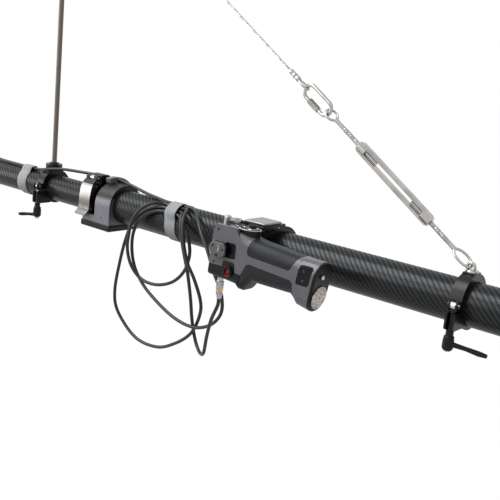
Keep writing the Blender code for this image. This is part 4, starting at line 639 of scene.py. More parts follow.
def skin(shape, rows, closed):
    """Faces between rows of vertices; a row of one repeated vertex is a pole."""
    pairs = list(zip(rows, rows[1:])) + ([(rows[-1], rows[0])] if closed else [])
    for low, high in pairs:
        for k in range(len(low)):
            j = (k + 1) % len(low)
            corners = list(dict.fromkeys((low[k], low[j], high[j], high[k])))
            if len(corners) > 2:
                shape.faces.new(corners)


def ring_of(shape, centre, radius, side, other, sides):
    if not radius:
        return [shape.verts.new(centre)] * sides
    spokes = [math.cos(a) * side + math.sin(a) * other for a in turns(sides)]
    return [shape.verts.new(centre + radius * spoke) for spoke in spokes]


def lathe(profile, base, along, steps=40, hollow=False):
    """A turned bmesh from (radius, height) pairs; a hollow one is a ring, others end at radius 0."""
    shape = bmesh.new()
    along = Vector(along).normalized()
    side = along.orthogonal().normalized()
    other = along.cross(side)
    rows = [ring_of(shape, Vector(base) + h * along, r, side, other, steps) for r, h in profile]
    skin(shape, rows, hollow)
    bmesh.ops.recalc_face_normals(shape, faces=shape.faces)
    return shape


def tube(points, radius, sides, closed=False):
    """A bmesh tube along points, without twist: each ring is the last one carried along the bend."""
    shape = bmesh.new()
    count = len(points)
    side = None
    rows = []
    for i, point in enumerate(points):
        after = points[(i + 1) % count] if closed else points[min(i + 1, count - 1)]
        before = points[i - 1] if closed or i else points[0]
        along = (after - before).normalized()
        side = side or along.orthogonal()
        side = (side - side.dot(along) * along).normalized()
        rows.append(ring_of(shape, point, radius, side, along.cross(side), sides))
    skin(shape, rows, closed)
    if not closed:
        shape.faces.new(rows[0])
        shape.faces.new(rows[-1])
    bmesh.ops.recalc_face_normals(shape, faces=shape.faces)
    return shape


def drill(place, facing, radius, depth):
    """A cutter for a round hole that opens at a place on a face."""
    clear = 0.001
    return lathe([(0, -depth), (radius, -depth), (radius, clear), (0, clear)], place, facing, 28)


def block(low, high):
    """A cutter for a square notch."""
    shape = bmesh.new()
    size = Matrix.Diagonal((*(high - low), 1))
    bmesh.ops.create_cube(shape, size=1, matrix=Matrix.Translation((low + high) / 2) @ size)
    return shape


# %% [markdown]
# ## Cleaning up the solids
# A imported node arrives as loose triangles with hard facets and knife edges. A copy of it is merged, its
# flat faces are made whole, its holes are drilled, its corners get a small bevel that catches the
# light, and its round faces are shaded smooth. The copy rides on the node's body and stands for it.

# %% Dressed copies
MERGE = 0.000004
FLAT_ANGLE = math.radians(0.6)
PLAIN_CORNER = 0.0003
CORNERS = {
    "front_end_plug": 0.0006, "rear_end_plug": 0.0006, "latch_collar": 0.0004, "latch_lever": 0.0002,
    "mast_clamp_ring": 0.0005, "mast_clamp_handle": 0.0006, "mast_foot": 0.0005, "stay_clamp_ring": 0.0005,
    "stay_clamp_handle": 0.0006, "turnbuckle_body": 0.0007, "grip_clamp": 0.0006, "grip_arm": 0.0005,
    "grip_core": 0.0, "grip_window": 0.0002, "grip_end_stud": 0.0002, "rail_plate": 0.0002,
    "cable_plug": 0.0002, "control_button_1": 0.0002, "control_button_2": 0.0002,
    "control_button_3": 0.0002,
}
GRIP_SCREWS = [(Vector((0.2966, -0.0920, 0.0670)), FRONT), (Vector((0.2933, -0.0920, 0.0261)), FRONT)]
RAIL_SCREWS = [(Vector((0.2945, -0.0983, 0.0470)), FRONT), (Vector((0.3105, -0.0983, 0.0446)), FRONT)]
SADDLE_SCREWS = [(Vector((0.0138, -0.0322, 0.0391)), FRONT), (Vector((0.0149, -0.0322, 0.0191)), FRONT)]
CLAMP_HOLES = [(Vector((0.328, -0.0364, 0.0645)), RIGHTWARD), (Vector((0.328, -0.0268, 0.0650)), RIGHTWARD)]
HOLES = {
    "grip_side_shell": (GRIP_SCREWS, 0.0017, 0.0009),
    "rail_plate": (RAIL_SCREWS, 0.0014, 0.0014),
    "saddle_block": (SADDLE_SCREWS, 0.0017, 0.0012),
    "grip_clamp": (CLAMP_HOLES, 0.0020, 0.0060),
}
NOTCHES = {"rail_plate": (Vector((0.2995, -0.1000, 0.0340)), Vector((0.3037, -0.0900, 0.0379)))}
REMADE = {
    "strap_left", "strap_right", "pad_eye", "mast_head", "turnbuckle_lower_eye", "turnbuckle_upper_eye",
    "quick_link", "wire_lower_end", "wire_upper_end", "stay_wire", "angle_cable", "grip_end_disc",
    "accessory_socket", "cable_boom_run", "cable_loops",
}


def merged(node):
    shape = bmesh.new()
    shape.from_mesh(nodes[node].data)
    bmesh.ops.remove_doubles(shape, verts=shape.verts, dist=MERGE)
    bmesh.ops.dissolve_limit(shape, angle_limit=FLAT_ANGLE, verts=shape.verts, edges=shape.edges)
    return shape


def dress(node):
    piece = link(f"{node}_dressed", merged(node))
    places, radius, depth = HOLES.get(node, ((), 0, 0))
    for place, facing in places:
        carve(piece, drill(place, facing, radius, depth))
    if node in NOTCHES:
        carve(piece, block(*NOTCHES[node]))
    smooth(piece)
    corner = CORNERS.get(node, PLAIN_CORNER)
    if corner:
        round_corners(piece, corner)
    stand_for(piece, node, finish=own_finishes.get(node))


for node in nodes:
    if node not in REMADE:
        dress(node)
print(len(nodes) - len(REMADE), "nodes dressed")

# %% [markdown]
# ## Growing what repeats
# Screws, contacts, knurls, threads and the strands of the wire all repeat one small shape by a rule, so
# Geometry Nodes make them. `Growth` is a tree with named inputs. It is put on an object that holds only
# points, each with the way it faces, and the result is kept as a plain mesh.


# %% Growth
class Growth(Tree):
    """A Geometry Nodes tree with named inputs, which grows plain meshes from points."""

    def __init__(self, name, **inputs):
        super().__init__(bpy.data.node_groups.new(name, "GeometryNodeTree"))
        face = self.node_tree.interface
        face.new_socket("Geometry", in_out="OUTPUT", socket_type="NodeSocketGeometry")
        self.keys = {}
        for label, kind in {"Points": "Geometry", "Surface": "Material", **inputs}.items():
            socket = face.new_socket(label, in_out="INPUT", socket_type=f"NodeSocket{kind}")
            self.keys[label] = socket.identifier
        self.start = self.node_tree.nodes.new("NodeGroupInput")
        self.end = self.node_tree.nodes.new("NodeGroupOutput")

    def given(self, label):
        return Field(self, self.start.outputs[label])

    def done(self, geometry):
        """Ends the tree: instances become faces, and the faces get their finish."""
        shaded = self.add("GeometryNodeSetShadeSmooth", None, {0: geometry})
        whole = self.add("GeometryNodeRealizeInstances", None, {0: shaded})
        painted = self.add("GeometryNodeSetMaterial", None, {0: whole, "Material": self.given("Surface")})
        self.fill(self.end.inputs[0], painted)

    def grow(self, name, body, slot, points=(), at=None, finish=None, **sizes):
        """A piece grown from (place, facing) points, moved by the matrix `at`, on a body."""
        mesh = bpy.data.meshes.new(name)
        mesh.from_pydata([place for place, _ in points], [], [])
        facing = mesh.attributes.new("facing", "FLOAT_VECTOR", "POINT")
        facing.data.foreach_set("vector", [c for _, way in points for c in way])
        piece = bpy.data.objects.new(name, mesh)
        scene.collection.objects.link(piece)
        modifier = piece.modifiers.new("growth", "NODES")
        modifier.node_group = self.node_tree
        modifier[self.keys["Surface"]] = finish or finishes[slot]
        for label, size in sizes.items():
            modifier[self.keys[label]] = size
        settle(piece)
        if at:
            piece.data.transform(at)
        smooth(piece)
        print(name, len(piece.data.polygons), "faces")
        return ride(piece, body, slot, finish) if body else coat(piece, slot, finish)


def along_line(place, along):
    """A matrix that stands the local Z axis on a place, along a direction."""
    return Matrix.Translation(place) @ Vector(along).to_track_quat("Z", "Y").to_matrix().to_4x4()


# %% [markdown]
# ### Screws and caps
# One small head with a hexagon socket serves for every screw. It is modelled once, with a radius of 1,
# and the tree puts it on each point, turned to face the way the point faces. Recessed screws sit at the
# bottom of the holes that were drilled above. The clamp handles have a push button under the hub, which
# is the same kind of head, larger.

# %% Screws
HEAD_PROFILE = [(0, -0.75), (1, -0.75), (1, -0.18), (0.94, -0.06), (0.82, 0), (0, 0)]
SOCKET_PROFILE = [(0, -0.5), (0.52, -0.5), (0.52, 0.2), (0, 0.2)]
MAST_RING_SCREW = (Vector((-0.1488, -0.0150, 0.0568)), Vector((0, -0.58, 0.81)))
CLAMP_SCREW = (Vector((0.3283, -0.0137, 0.0672)), RIGHTWARD)
SCREWS = (  # name, body, slot, radius, places, how far the heads are sunk
    ("grip_screws", "boom", "black_anodised", 0.0015, GRIP_SCREWS, 0.0003),
    ("rail_screws", "boom", "black_anodised", 0.0012, RAIL_SCREWS, 0.0006),
    ("saddle_screws", "boom", "stainless_steel", 0.0014, SADDLE_SCREWS, 0.0005),
    ("clamp_hole_screw", "boom", "stainless_steel", 0.0016, CLAMP_HOLES[1:], 0.0020),
    ("clamp_screw", "boom", "stainless_steel", 0.0013, [CLAMP_SCREW], 0.0),
    ("mast_ring_screw", "rear_section", "stainless_steel", 0.0024, [MAST_RING_SCREW], 0.0),
)
HUBS = (("mast_clamp_handle", -0.1400, -0.0321), ("stay_clamp_handle", 0.5838, -0.0366))
HUB_BUTTON_RADIUS = 0.0034
HUB_BUTTON_DROP = 0.0014


def screw_head():
    head = link("screw_head", lathe(HEAD_PROFILE, (0, 0, 0), (0, 0, 1), 24))
    carve(head, lathe(SOCKET_PROFILE, (0, 0, 0), (0, 0, 1), 6))
    scene.collection.objects.unlink(head)
    return head


def fastener_tree():
    tree = Growth("fasteners", Head="Object", Radius="Float")
    facing = tree.add("GeometryNodeInputNamedAttribute", {"data_type": "FLOAT_VECTOR"}, {"Name": "facing"})
    turned = tree.add("FunctionNodeAlignRotationToVector", {"axis": "Z"}, {"Vector": facing})
    head = tree.add("GeometryNodeObjectInfo", None, {"Object": tree.given("Head")}, "Geometry")
    sockets = {"Points": tree.given("Points"), "Instance": head, "Rotation": turned,
               "Scale": tree.given("Radius")}
    tree.done(tree.add("GeometryNodeInstanceOnPoints", None, sockets))
    return tree


def sunk(points, depth):
    return [(place - depth * facing, facing) for place, facing in points]


fasteners = fastener_tree()
head = screw_head()
for name, body, slot, radius, places, depth in SCREWS:
    fasteners.grow(name, body, slot, sunk(places, depth), Head=head, Radius=radius)
for node, x, y in HUBS:
    spot = Vector((x, y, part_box(node)[0].z - HUB_BUTTON_DROP))
    fasteners.grow(f"{node}_button", node, "stainless_steel", [(spot, DOWN)], Head=head,
                   Radius=HUB_BUTTON_RADIUS)

# %% [markdown]
# ## Stay
# Everything on the stay hangs on one straight line from the pad eye to the mast's lug. `on_stay` gives a
# point at a distance up that line. The eyes and links are round wire bent into long loops, so each is a
# tube round a closed path, and a shank is joined to it. The turnbuckle's eyes are turned a little about the
# stay, as slack ones are. The link that can be opened has a gap in one bar, which its long nut covers.

# %% Eyes and links
STAY_FOOT = Vector((0.5800, 0, 0.0758))
STAY_TOP = Vector((-0.1315, 0, 0.5612))
stay_along = (STAY_TOP - STAY_FOOT).normalized()
ACROSS = Vector((0, 1, 0))
stay_under = stay_along.cross(ACROSS)
if stay_under.z > 0:
    stay_under = -stay_under
WIRE_SIDES = 14
EYE_TURN = math.radians(30)
EYE_ACROSS = math.cos(EYE_TURN) * ACROSS - math.sin(EYE_TURN) * stay_under
EYE_SIZE = (0.0262, 0.0126, 0.0015)
LINK_SIZE = (0.0462, 0.0172, 0.0024)
LINK_GAP = 0.008
WIRE_EYE_SIZE = (0.018, 0.0088, 0.0013)
LOWER_EYE_AT = 0.0133
UPPER_EYE_AT = 0.2456
UPPER_EYE_SIZE = (0.0170, 0.0136, 0.0015)
LINK_AT = 0.2725
LOWER_WIRE_EYE_AT = 0.3006
UPPER_WIRE_EYE_AT = 0.8512
THREAD_RADIUS = 0.0026
SHANK_ENDS = (0.099, 0.161)
SHANK_LEAD = 0.006
SHANK_SWELL = 1.1
FERRULE_LENGTH = 0.01855
FERRULE_RADIUS = 0.0034


def on_stay(distance, offset=0.0, across=ACROSS):
    return STAY_FOOT + distance * stay_along + offset * across


def oval_path(at, size, across, steps=40):
    """An eye drawn out along the stay."""
    length, width, _ = size
    return [on_stay(at + length / 2 * math.sin(a), width / 2 * math.cos(a), across) for a in turns(steps)]


def eye(node, at, size, shank, across=ACROSS):
    """An oval eye with the turned shank given as (radius, distance up the stay) pairs."""
    piece = link(f"{node}_bent", tube(oval_path(at, size, across), size[2], WIRE_SIDES, True))
    carve(piece, lathe(shank, STAY_FOOT, stay_along, 28), "UNION")
    smooth(piece)
    stand_for(piece, node)


def shank(start, end, radius):
    """A plain shank that swells where it leaves the eye."""
    wide = radius * SHANK_SWELL
    lead = math.copysign(SHANK_LEAD, end - start)
    return [(0, start), (wide, start), (wide, start + 0.4 * lead), (radius, start + lead), (radius, end),
            (0, end)]


def ferrule(start, way):
    """A pressed ferrule: a barrel with two shallow crimps and soft ends."""
    shares = [(0, 0), (0.75, 0), (0.97, 0.06), (1, 0.14), (1, 0.26), (0.9, 0.30), (0.9, 0.40), (1, 0.44),
              (1, 0.56), (0.9, 0.60), (0.9, 0.70), (1, 0.74), (1, 0.86), (0.95, 0.95), (0.7, 1), (0, 1)]
    return [(FERRULE_RADIUS * r, start + way * FERRULE_LENGTH * h) for r, h in shares]


def link_path(steps=14):
    """The open link: from one side of the gap, round both ends, to the other side."""
    length, width, _ = LINK_SIZE
    radius = width / 2
    straight = length / 2 - radius
    path = [(LINK_GAP / 2, radius)]
    for end in (1, -1):
        for k in range(steps + 1):
            a = math.pi * k / steps
            path.append((end * (straight + radius * math.sin(a)), end * radius * math.cos(a)))
    path.append((-LINK_GAP / 2, radius))
    return [on_stay(LINK_AT + d, w, stay_under) for d, w in path]


def neck(size):
    """How far from an eye's middle its shank starts."""
    return (size[0] - size[2]) / 2


lower_shank = shank(LOWER_EYE_AT + neck(EYE_SIZE), SHANK_ENDS[0], THREAD_RADIUS)
upper_shank = shank(UPPER_EYE_AT - neck(UPPER_EYE_SIZE), SHANK_ENDS[1], THREAD_RADIUS)
eye("turnbuckle_lower_eye", LOWER_EYE_AT, EYE_SIZE, lower_shank, EYE_ACROSS)
eye("turnbuckle_upper_eye", UPPER_EYE_AT, UPPER_EYE_SIZE, upper_shank, EYE_ACROSS)
for node, at, way in (("wire_lower_end", LOWER_WIRE_EYE_AT, 1), ("wire_upper_end", UPPER_WIRE_EYE_AT, -1)):
    eye(node, at, WIRE_EYE_SIZE, ferrule(at + way * neck(WIRE_EYE_SIZE), way))
stand_for(form("quick_link_bent", tube(link_path(), LINK_SIZE[2], WIRE_SIDES)), "quick_link")
print("stay", round((STAY_TOP - STAY_FOOT).length, 4), "m from eye to lug")

# %% [markdown]
# ### Pad eye and mast head
# The stay's foot is a turned base with a bow of round wire on it. At the top a turned cap closes the mast
# and carries the lug.

# %% Foot and head of the stay
PAD_RADIUS = 0.0075
PAD_THICKNESS = 0.0020
BOW = (0.0045, 0.0017)
LUG = (0.0045, 0.0018)
CAP_RADIUS = 0.0065
CAP_HEIGHT = 0.016
ROD_ROOM = 0.0042


def hoop(centre, size, steps=32):
    """A ring of round wire, upright and in line with the boom."""
    radius, wire = size
    points = [centre + radius * Vector((math.cos(a), 0, math.sin(a))) for a in turns(steps)]
    return tube(points, wire, WIRE_SIDES, True)


def pad_eye():
    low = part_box("pad_eye")[0].z
    edge = 0.3 * PAD_THICKNESS
    base = [(0, 0), (PAD_RADIUS, 0), (PAD_RADIUS, PAD_THICKNESS - edge), (PAD_RADIUS - edge, PAD_THICKNESS),
            (0, PAD_THICKNESS)]
    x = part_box("pad_eye")[1].x - PAD_RADIUS
    piece = link("pad_eye_turned", lathe(base, (x, 0, low), (0, 0, 1)))
    carve(piece, hoop(STAY_FOOT, BOW), "UNION")
    smooth(piece)
    stand_for(piece, "pad_eye")


def mast_head():
    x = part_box("mast_head")[0].x + CAP_RADIUS
    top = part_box("mast_head")[1].z
    shares = [(0.92, -1), (1, -0.96), (1, -0.22), (0.93, -0.10), (0.74, -0.02), (0.5, 0), (0, 0)]
    cap = [(0, -CAP_HEIGHT / 2), (ROD_ROOM, -CAP_HEIGHT / 2), (ROD_ROOM, -CAP_HEIGHT)]
    cap += [(r * CAP_RADIUS, h * CAP_HEIGHT) for r, h in shares]
    piece = link("mast_head_turned", lathe(cap, (x, 0, top), (0, 0, 1)))
    carve(piece, hoop(STAY_TOP, LUG), "UNION")
    smooth(piece)
    stand_for(piece, "mast_head")


pad_eye()
mast_head()
print("pad eye and mast head")

# %% [markdown]
# ### Laid wire and threads
# The wire is six strands laid round a seventh. A spiral node gives one strand, a few points turned about
# the axis give the rest, and all of them are swept with a small circle. A thread is one spiral swept the
# same way. The wire runs from the boom to the mast, which rides on the rear section.

# %% Wire and threads
STRANDS = 6
WIRE_RADIUS = 0.0013
WIRE_LAY = 0.024
WIRE_POINTS = 40
WIRE_ENDS = (0.3275, 0.8243)
BLEND_ENDS = (0.36, 0.79)
THREAD_PITCH = 0.0016
THREAD_SINK = 0.0003
THREAD_RIDGE = 0.42 * THREAD_PITCH
THREADS = (("lower_thread", 0.040, 0.066), ("upper_thread", 0.194, 0.220))


def spiral(tree, radius):
    sockets = {"Resolution": 14, "Rotations": tree.given("Turns"), "Height": tree.given("Height"),
               "Start Radius": radius, "End Radius": radius}
    return tree.add("GeometryNodeCurveSpiral", None, sockets)


def sweep(tree, line, thickness, sides):
    profile = tree.add("GeometryNodeCurvePrimitiveCircle", None, {"Resolution": sides, "Radius": thickness})
    sockets = {"Curve": line, "Profile Curve": profile, "Fill Caps": True}
    return tree.add("GeometryNodeCurveToMesh", None, sockets)


def wire_tree():
    tree = Growth("laid_wire", Turns="Float", Height="Float", Strands="Int", Thickness="Float")
    strand = spiral(tree, tree.given("Thickness") * 2)
    starts = tree.add("GeometryNodePoints", None, {"Count": tree.given("Strands")})
    angle = tree.add("GeometryNodeInputIndex") * (2 * math.pi) / tree.given("Strands")
    turned = tree.add("ShaderNodeCombineXYZ", None, {"Z": angle})
    sockets = {"Points": starts, "Instance": strand, "Rotation": turned}
    laid = tree.add("GeometryNodeInstanceOnPoints", None, sockets)
    end = tree.add("ShaderNodeCombineXYZ", None, {"Z": tree.given("Height")})
    core = tree.add("GeometryNodeCurvePrimitiveLine", None, {"End": end})
    strands = tree.add("GeometryNodeRealizeInstances", None, {0: laid})
    lines = tree.add("GeometryNodeJoinGeometry", None, {0: [strands, core]})
    tree.done(sweep(tree, lines, tree.given("Thickness"), 7))
    return tree


def thread_tree():
    tree = Growth("screw_thread", Turns="Float", Height="Float", Radius="Float", Ridge="Float")
    tree.done(sweep(tree, spiral(tree, tree.given("Radius")), tree.given("Ridge"), 5))
    return tree


low, high = WIRE_ENDS
wire = wire_tree().grow("stay_wire_laid", None, "stainless_steel", at=along_line(on_stay(low), stay_along),
                        Turns=(high - low) / WIRE_LAY, Height=high - low, Strands=STRANDS,
                        Thickness=WIRE_RADIUS / 3)
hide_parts("stay_wire")
on_stay(BLEND_ENDS[0])
on_stay(BLEND_ENDS[1])
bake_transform(wire)
wire_line = [on_stay(low + (high - low) * k / WIRE_POINTS) for k in range(WIRE_POINTS + 1)]
threads = thread_tree()
for name, low, high in THREADS:
    threads.grow(name, "boom", "stainless_steel", at=along_line(on_stay(low), stay_along), Height=high - low,
                 Turns=(high - low) / THREAD_PITCH, Radius=THREAD_RADIUS - THREAD_SINK, Ridge=THREAD_RIDGE)

# %% [markdown]
# ## Straps
# Each strap is one length of tape that goes round the tube and the cable on it, and closes on itself:
# its end climbs over its start and lies on top for a while. So the band is a spiral that rises by one
# thickness just before it meets its start. It bulges where the cable lies under it. Its edges waver a
# little, as cut tape does, and it carries the UV map that the weave reads.

# %% Straps
TAPE_THICKNESS = 0.0009
TAPE_CLEARANCE = 0.0003
TAPE_STEPS = 150
TAPE_OVERLAP = 70.0
TAPE_CLIMB = 22.0
TAPE_LIFT = 1.12 * TAPE_THICKNESS
TAPE_WAVER = ((0.00018, 5), (0.0001, 17))
STRAPS = (  # node, tube's radius, bulge over the cable as (angle, spread, rise), angle of the tape's start
    ("strap_right", MAIN_RADIUS, (38.0, 30.0, 0.0064), 165.0),
    ("strap_left", REAR_RADIUS, (14.0, 19.0, 0.0056), 170.0),
)
TAPE_SECTION = [(-0.5, 0.1), (-0.5, 0.7), (-0.48, 1.0), (-0.16, 1.06), (0.16, 1.06), (0.48, 1.0), (0.5, 0.7),
                (0.5, 0.1), (0.48, 0), (-0.48, 0)]


def tape_point(x, width, tube_radius, bulge, start, degrees, share):
    """A point of the tape's section at an angle round the tube, from +Z towards -Y."""
    angle, spread, rise = bulge
    off = ((degrees - angle + 180) % 360 - 180) / spread
    climb = min(max((degrees - start - 360 + TAPE_CLIMB) / TAPE_CLIMB, 0), 1)
    lift = climb * climb * (3 - 2 * climb) * TAPE_LIFT
    across, through = share
    waver = sum(size * math.sin(math.radians(count * degrees)) for size, count in TAPE_WAVER)
    radius = tube_radius + TAPE_CLEARANCE + rise * math.exp(-(off**4)) + lift + through * TAPE_THICKNESS
    a = math.radians(degrees)
    height = TUBE_AXIS_HEIGHT + radius * math.cos(a)
    return Vector((x + across * width + waver, -radius * math.sin(a), height))


def tape_band(node, tube_radius, bulge, start):
    low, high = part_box(node)
    x, width = (low.x + high.x) / 2, high.x - low.x
    shape = bmesh.new()
    total = 360 + TAPE_OVERLAP
    rows = []
    for k in range(TAPE_STEPS + 1):
        degrees = start + total * k / TAPE_STEPS
        spots = [tape_point(x, width, tube_radius, bulge, start, degrees, share) for share in TAPE_SECTION]
        rows.append([shape.verts.new(spot) for spot in spots])
    skin(shape, rows, False)
    shape.faces.new(rows[0])
    shape.faces.new(rows[-1])
    bmesh.ops.recalc_face_normals(shape, faces=shape.faces)
    sheet = shape.loops.layers.uv.new("tape")
    step = math.radians(total / TAPE_STEPS) * tube_radius
    around = {v: k * step for k, row in enumerate(rows) for v in row}
    for face in shape.faces:
        for corner in face.loops:
            corner[sheet].uv = (around[corner.vert], corner.vert.co.x - x)
    stand_for(form(f"{node}_tape", shape), node)
    print(node, "tape", round(math.radians(total) * tube_radius, 3), "m long")


for strap in STRAPS:
    tape_band(*strap)

# %% [markdown]
# ## Grip details
# The rail on the grip carries two columns of sprung contacts, and a small notch that a mounted unit
# drops into. The round socket has a red ring in its mouth and an insert with pins. The contacts and pins
# are round-headed pins on a grid and on a circle, so the screws' tree places them too.

# %% Contacts and socket
CONTACT_CENTRE = Vector((0.3043, -0.0983, 0.0460))
CONTACT_STEP = (0.0020, 0.0016)
CONTACT_GRID = (2, 6)
PIN_PROFILE = [(0, -1), (1, -1), (1, 0.2), (0.8, 0.7), (0.4, 0.95), (0, 1)]
SOCKET_PINS = 7
SOCKET_CUP = [(0, 0), (0.0066, 0), (0.0066, 0.0026), (0.0065, 0.0029), (0.0063, 0.0030), (0.0060, 0.0030),
              (0.0058, 0.0028), (0.0058, 0.0006), (0, 0.0006)]
RED_RING = [(0.0053, 0.0007), (0.00575, 0.0007), (0.00575, 0.0025), (0.0056, 0.0025)]
SOCKET_INSERT = [(0, 0.0006), (0.0036, 0.0006), (0.0036, 0.0013), (0.0033, 0.0016), (0, 0.0016)]
INSERT_HEIGHT = 0.0016
PIN_CIRCLE = 0.0020
CONTACT_RADIUS = 0.0007
PIN_RADIUS = 0.0003
socket_back = middle("accessory_socket")
socket_back.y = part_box("accessory_socket")[1].y

pin = link("round_pin", lathe(PIN_PROFILE, (0, 0, 0), (0, 0, 1), 10))
scene.collection.objects.unlink(pin)
columns, rows = CONTACT_GRID
contacts = []
for i in range(columns):
    for k in range(rows):
        dx = (i - (columns - 1) / 2) * CONTACT_STEP[0]
        dz = (k - (rows - 1) / 2) * CONTACT_STEP[1]
        contacts.append((CONTACT_CENTRE + Vector((dx, 0, dz)), FRONT))
fasteners.grow("rail_contacts", "boom", "end_disc", contacts, finish=gilt, Head=pin, Radius=CONTACT_RADIUS)
insert_front = socket_back + INSERT_HEIGHT * FRONT
pins = [(insert_front, FRONT)]
for a in turns(SOCKET_PINS - 1):
    pins.append((insert_front + PIN_CIRCLE * Vector((math.cos(a), 0, math.sin(a))), FRONT))
fasteners.grow("socket_pins", "boom", "end_disc", pins, finish=gilt, Head=pin, Radius=PIN_RADIUS)

stand_for(form("accessory_socket_turned", lathe(SOCKET_CUP, socket_back, FRONT, 48)), "accessory_socket")
ride(form("socket_red_ring", lathe(RED_RING, socket_back, FRONT, 48, True)), "boom", "red_ring")
ride(form("socket_insert", lathe(SOCKET_INSERT, socket_back, FRONT)), "boom", "handle_plastic")

# %% [markdown]
# ### End disc, window and controls
# The disc on the grip's end is turned, with rings that catch the light, and it stands square to the end
# plate, which leans. Two small lamps sit behind the window. The buttons and the stick have bright bezels
# round them, and the oval plate has a bright rim.

# %% Disc, lamps and bezels
DISC_NORMAL = Vector((0.987, 0, -0.160)).normalized()
DISC_SHARES = [
    (1, 0), (1, 0.7), (0.965, 1), (0.90, 1), (0.885, 0.72), (0.845, 0.72), (0.83, 1), (0.66, 1), (0.65, 0.8),
    (0.62, 0.8), (0.61, 1), (0.42, 1), (0.41, 0.8), (0.38, 0.8), (0.37, 1), (0.14, 1), (0.12, 0.6), (0, 0.6),
]
BUTTON_BEZEL = (0.0004, 0.0007)
STICK_BEZEL = (0.0002, 0.0010)
RIM_WIRE = 0.00055
RIM_DROP = 0.0003
LAMP_PLACES = [Vector((0.4263, -0.0916, 0.0458)), Vector((0.4262, -0.0916, 0.0346))]
LAMP_RING = [(0.0008, -0.0001), (0.0012, -0.0001), (0.0012, 0.00015), (0.0010, 0.00022), (0.0008, 0.0001)]


def end_disc():
    reach = [v.co.dot(DISC_NORMAL) for v in nodes["grip_end_disc"].data.vertices]
    radius = (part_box("grip_end_disc")[1].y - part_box("grip_end_disc")[0].y) / 2
    thickness = max(reach) - min(reach)
    centre = middle("grip_end_disc")
    base = centre + (min(reach) - centre.dot(DISC_NORMAL)) * DISC_NORMAL
    profile = [(0, 0)] + [(radius * r, thickness * h) for r, h in DISC_SHARES]
    stand_for(form("grip_end_disc_turned", lathe(profile, base, DISC_NORMAL, 64)), "grip_end_disc")
    print("end disc", round(thickness, 4), "m thick")


def bezel(name, node, room, wire):
    """A round bright ring on the control plate, round a button or the stick."""
    low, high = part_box(node)
    radius = (high.x - low.x) / 2 + room
    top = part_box("control_plate")[1].z
    shares = [(0, 0), (1, 0), (1, 0.5), (0.6, 1), (0, 0.7)]
    section = [(radius + out * wire, up * wire) for out, up in shares]
    ring = form(name, lathe(section, (*middle(node).xy, top), (0, 0, 1), 32, True))
    ride(ring, "boom", "silver_lever")


def plate_rim():
    low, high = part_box("control_plate")
    centre = (low + high) / 2
    half = (high - low) / 2
    centre.z = high.z - RIM_DROP
    edge = [centre + Vector((half.x * math.cos(a), half.y * math.sin(a), 0)) for a in turns(64)]
    ride(form("control_plate_rim", tube(edge, RIM_WIRE, 8, True)), "boom", "silver_lever")


end_disc()
plate_rim()
for k in (1, 2, 3):
    bezel(f"button_{k}_bezel", f"control_button_{k}", *BUTTON_BEZEL)
bezel("stick_bezel", "joystick", *STICK_BEZEL)
for k, place in enumerate(LAMP_PLACES, 1):
    ride(form(f"window_lamp_{k}", lathe(LAMP_RING, place, FRONT, 24, True)), "boom", "grip_grey")

# %% [markdown]
# ## Plugs
# The plugs are turned, and knurled where fingers hold them. A knurl is a ring of small ridges: a circle
# of points with a thin six-sided rod on each, which needs no turning because the rods stand along the
# axis. A gilt band marks where the sleeve of the cable's plug slides.

# %% Knurls
PLUG_RADIUS = 0.0046
TAIL_RADIUS = 0.88 * PLUG_RADIUS
ANGLE_PLUG_FOOT = Vector((0.2900, -0.0690, 0.0752))
ANGLE_PLUG_ALONG = Vector((math.cos(math.radians(29)), math.sin(math.radians(29)), 0))
REAR_PLUG_HEIGHT = 0.027
KNURL_RIDGE = 0.00035
BAND_HEIGHTS = (0.0128, 0.0152)


def knurl_tree():
    tree = Growth("knurl", Radius="Float", Count="Int", Length="Float", Ridge="Float")
    sockets = {"Vertices": tree.given("Count"), "Radius": tree.given("Radius")}
    circle = tree.add("GeometryNodeMeshCircle", None, sockets)
    sockets = {"Vertices": 6, "Radius": tree.given("Ridge"), "Depth": tree.given("Length")}
    rod = tree.add("GeometryNodeMeshCylinder", None, sockets)
    tree.done(tree.add("GeometryNodeInstanceOnPoints", None, {"Points": circle, "Instance": rod}))
    return tree


plug_top = Vector((*middle("cable_plug").xy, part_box("cable_plug")[1].z))
rear_plug = Vector((middle("rear_connector").x, 0, TUBE_AXIS_HEIGHT + REAR_PLUG_HEIGHT))
angle_knurl = ANGLE_PLUG_FOOT + 0.0125 * ANGLE_PLUG_ALONG
KNURLS = (  # name, body, slot, middle, direction, radius, ridges, length
    ("plug_knurl", "boom", "silver_lever", plug_top + 0.0085 * DOWN, DOWN, PLUG_RADIUS, 30, 0.006),
    ("plug_tail_knurl", "boom", "silver_lever", plug_top + 0.0205 * DOWN, DOWN, TAIL_RADIUS, 26, 0.003),
    ("angle_plug_knurl", "boom", "silver_lever", angle_knurl, ANGLE_PLUG_ALONG, 0.8 * PLUG_RADIUS, 26, 0.005),
    ("rear_connector_knurl", "rear_section", "black_anodised", rear_plug, RIGHTWARD, 0.0065, 36, 0.008),
)
knurls = knurl_tree()
for name, body, slot, place, along, radius, count, length in KNURLS:
    knurls.grow(name, body, slot, at=along_line(place, along), Radius=radius, Count=count, Length=length,
                Ridge=KNURL_RIDGE)
inner, outer = PLUG_RADIUS - 0.0004, PLUG_RADIUS + 0.0002
start, end = BAND_HEIGHTS
band = [(inner, start), (outer, start), (outer, end), (inner, end)]
ride(form("plug_band", lathe(band, plug_top, DOWN, 40, True)), "boom", "end_disc", gilt)

# %% [markdown]
# ## Cable
# One cable runs from the connector at the rear, along the tubes and through the two straps, hangs in
# three loops and ends in the plug under the grip. It is a smooth curve through listed points, drawn as a
# round tube. The part of it behind the latch would have to follow the rear section when that slides in,
# but the tube is one plain mesh.

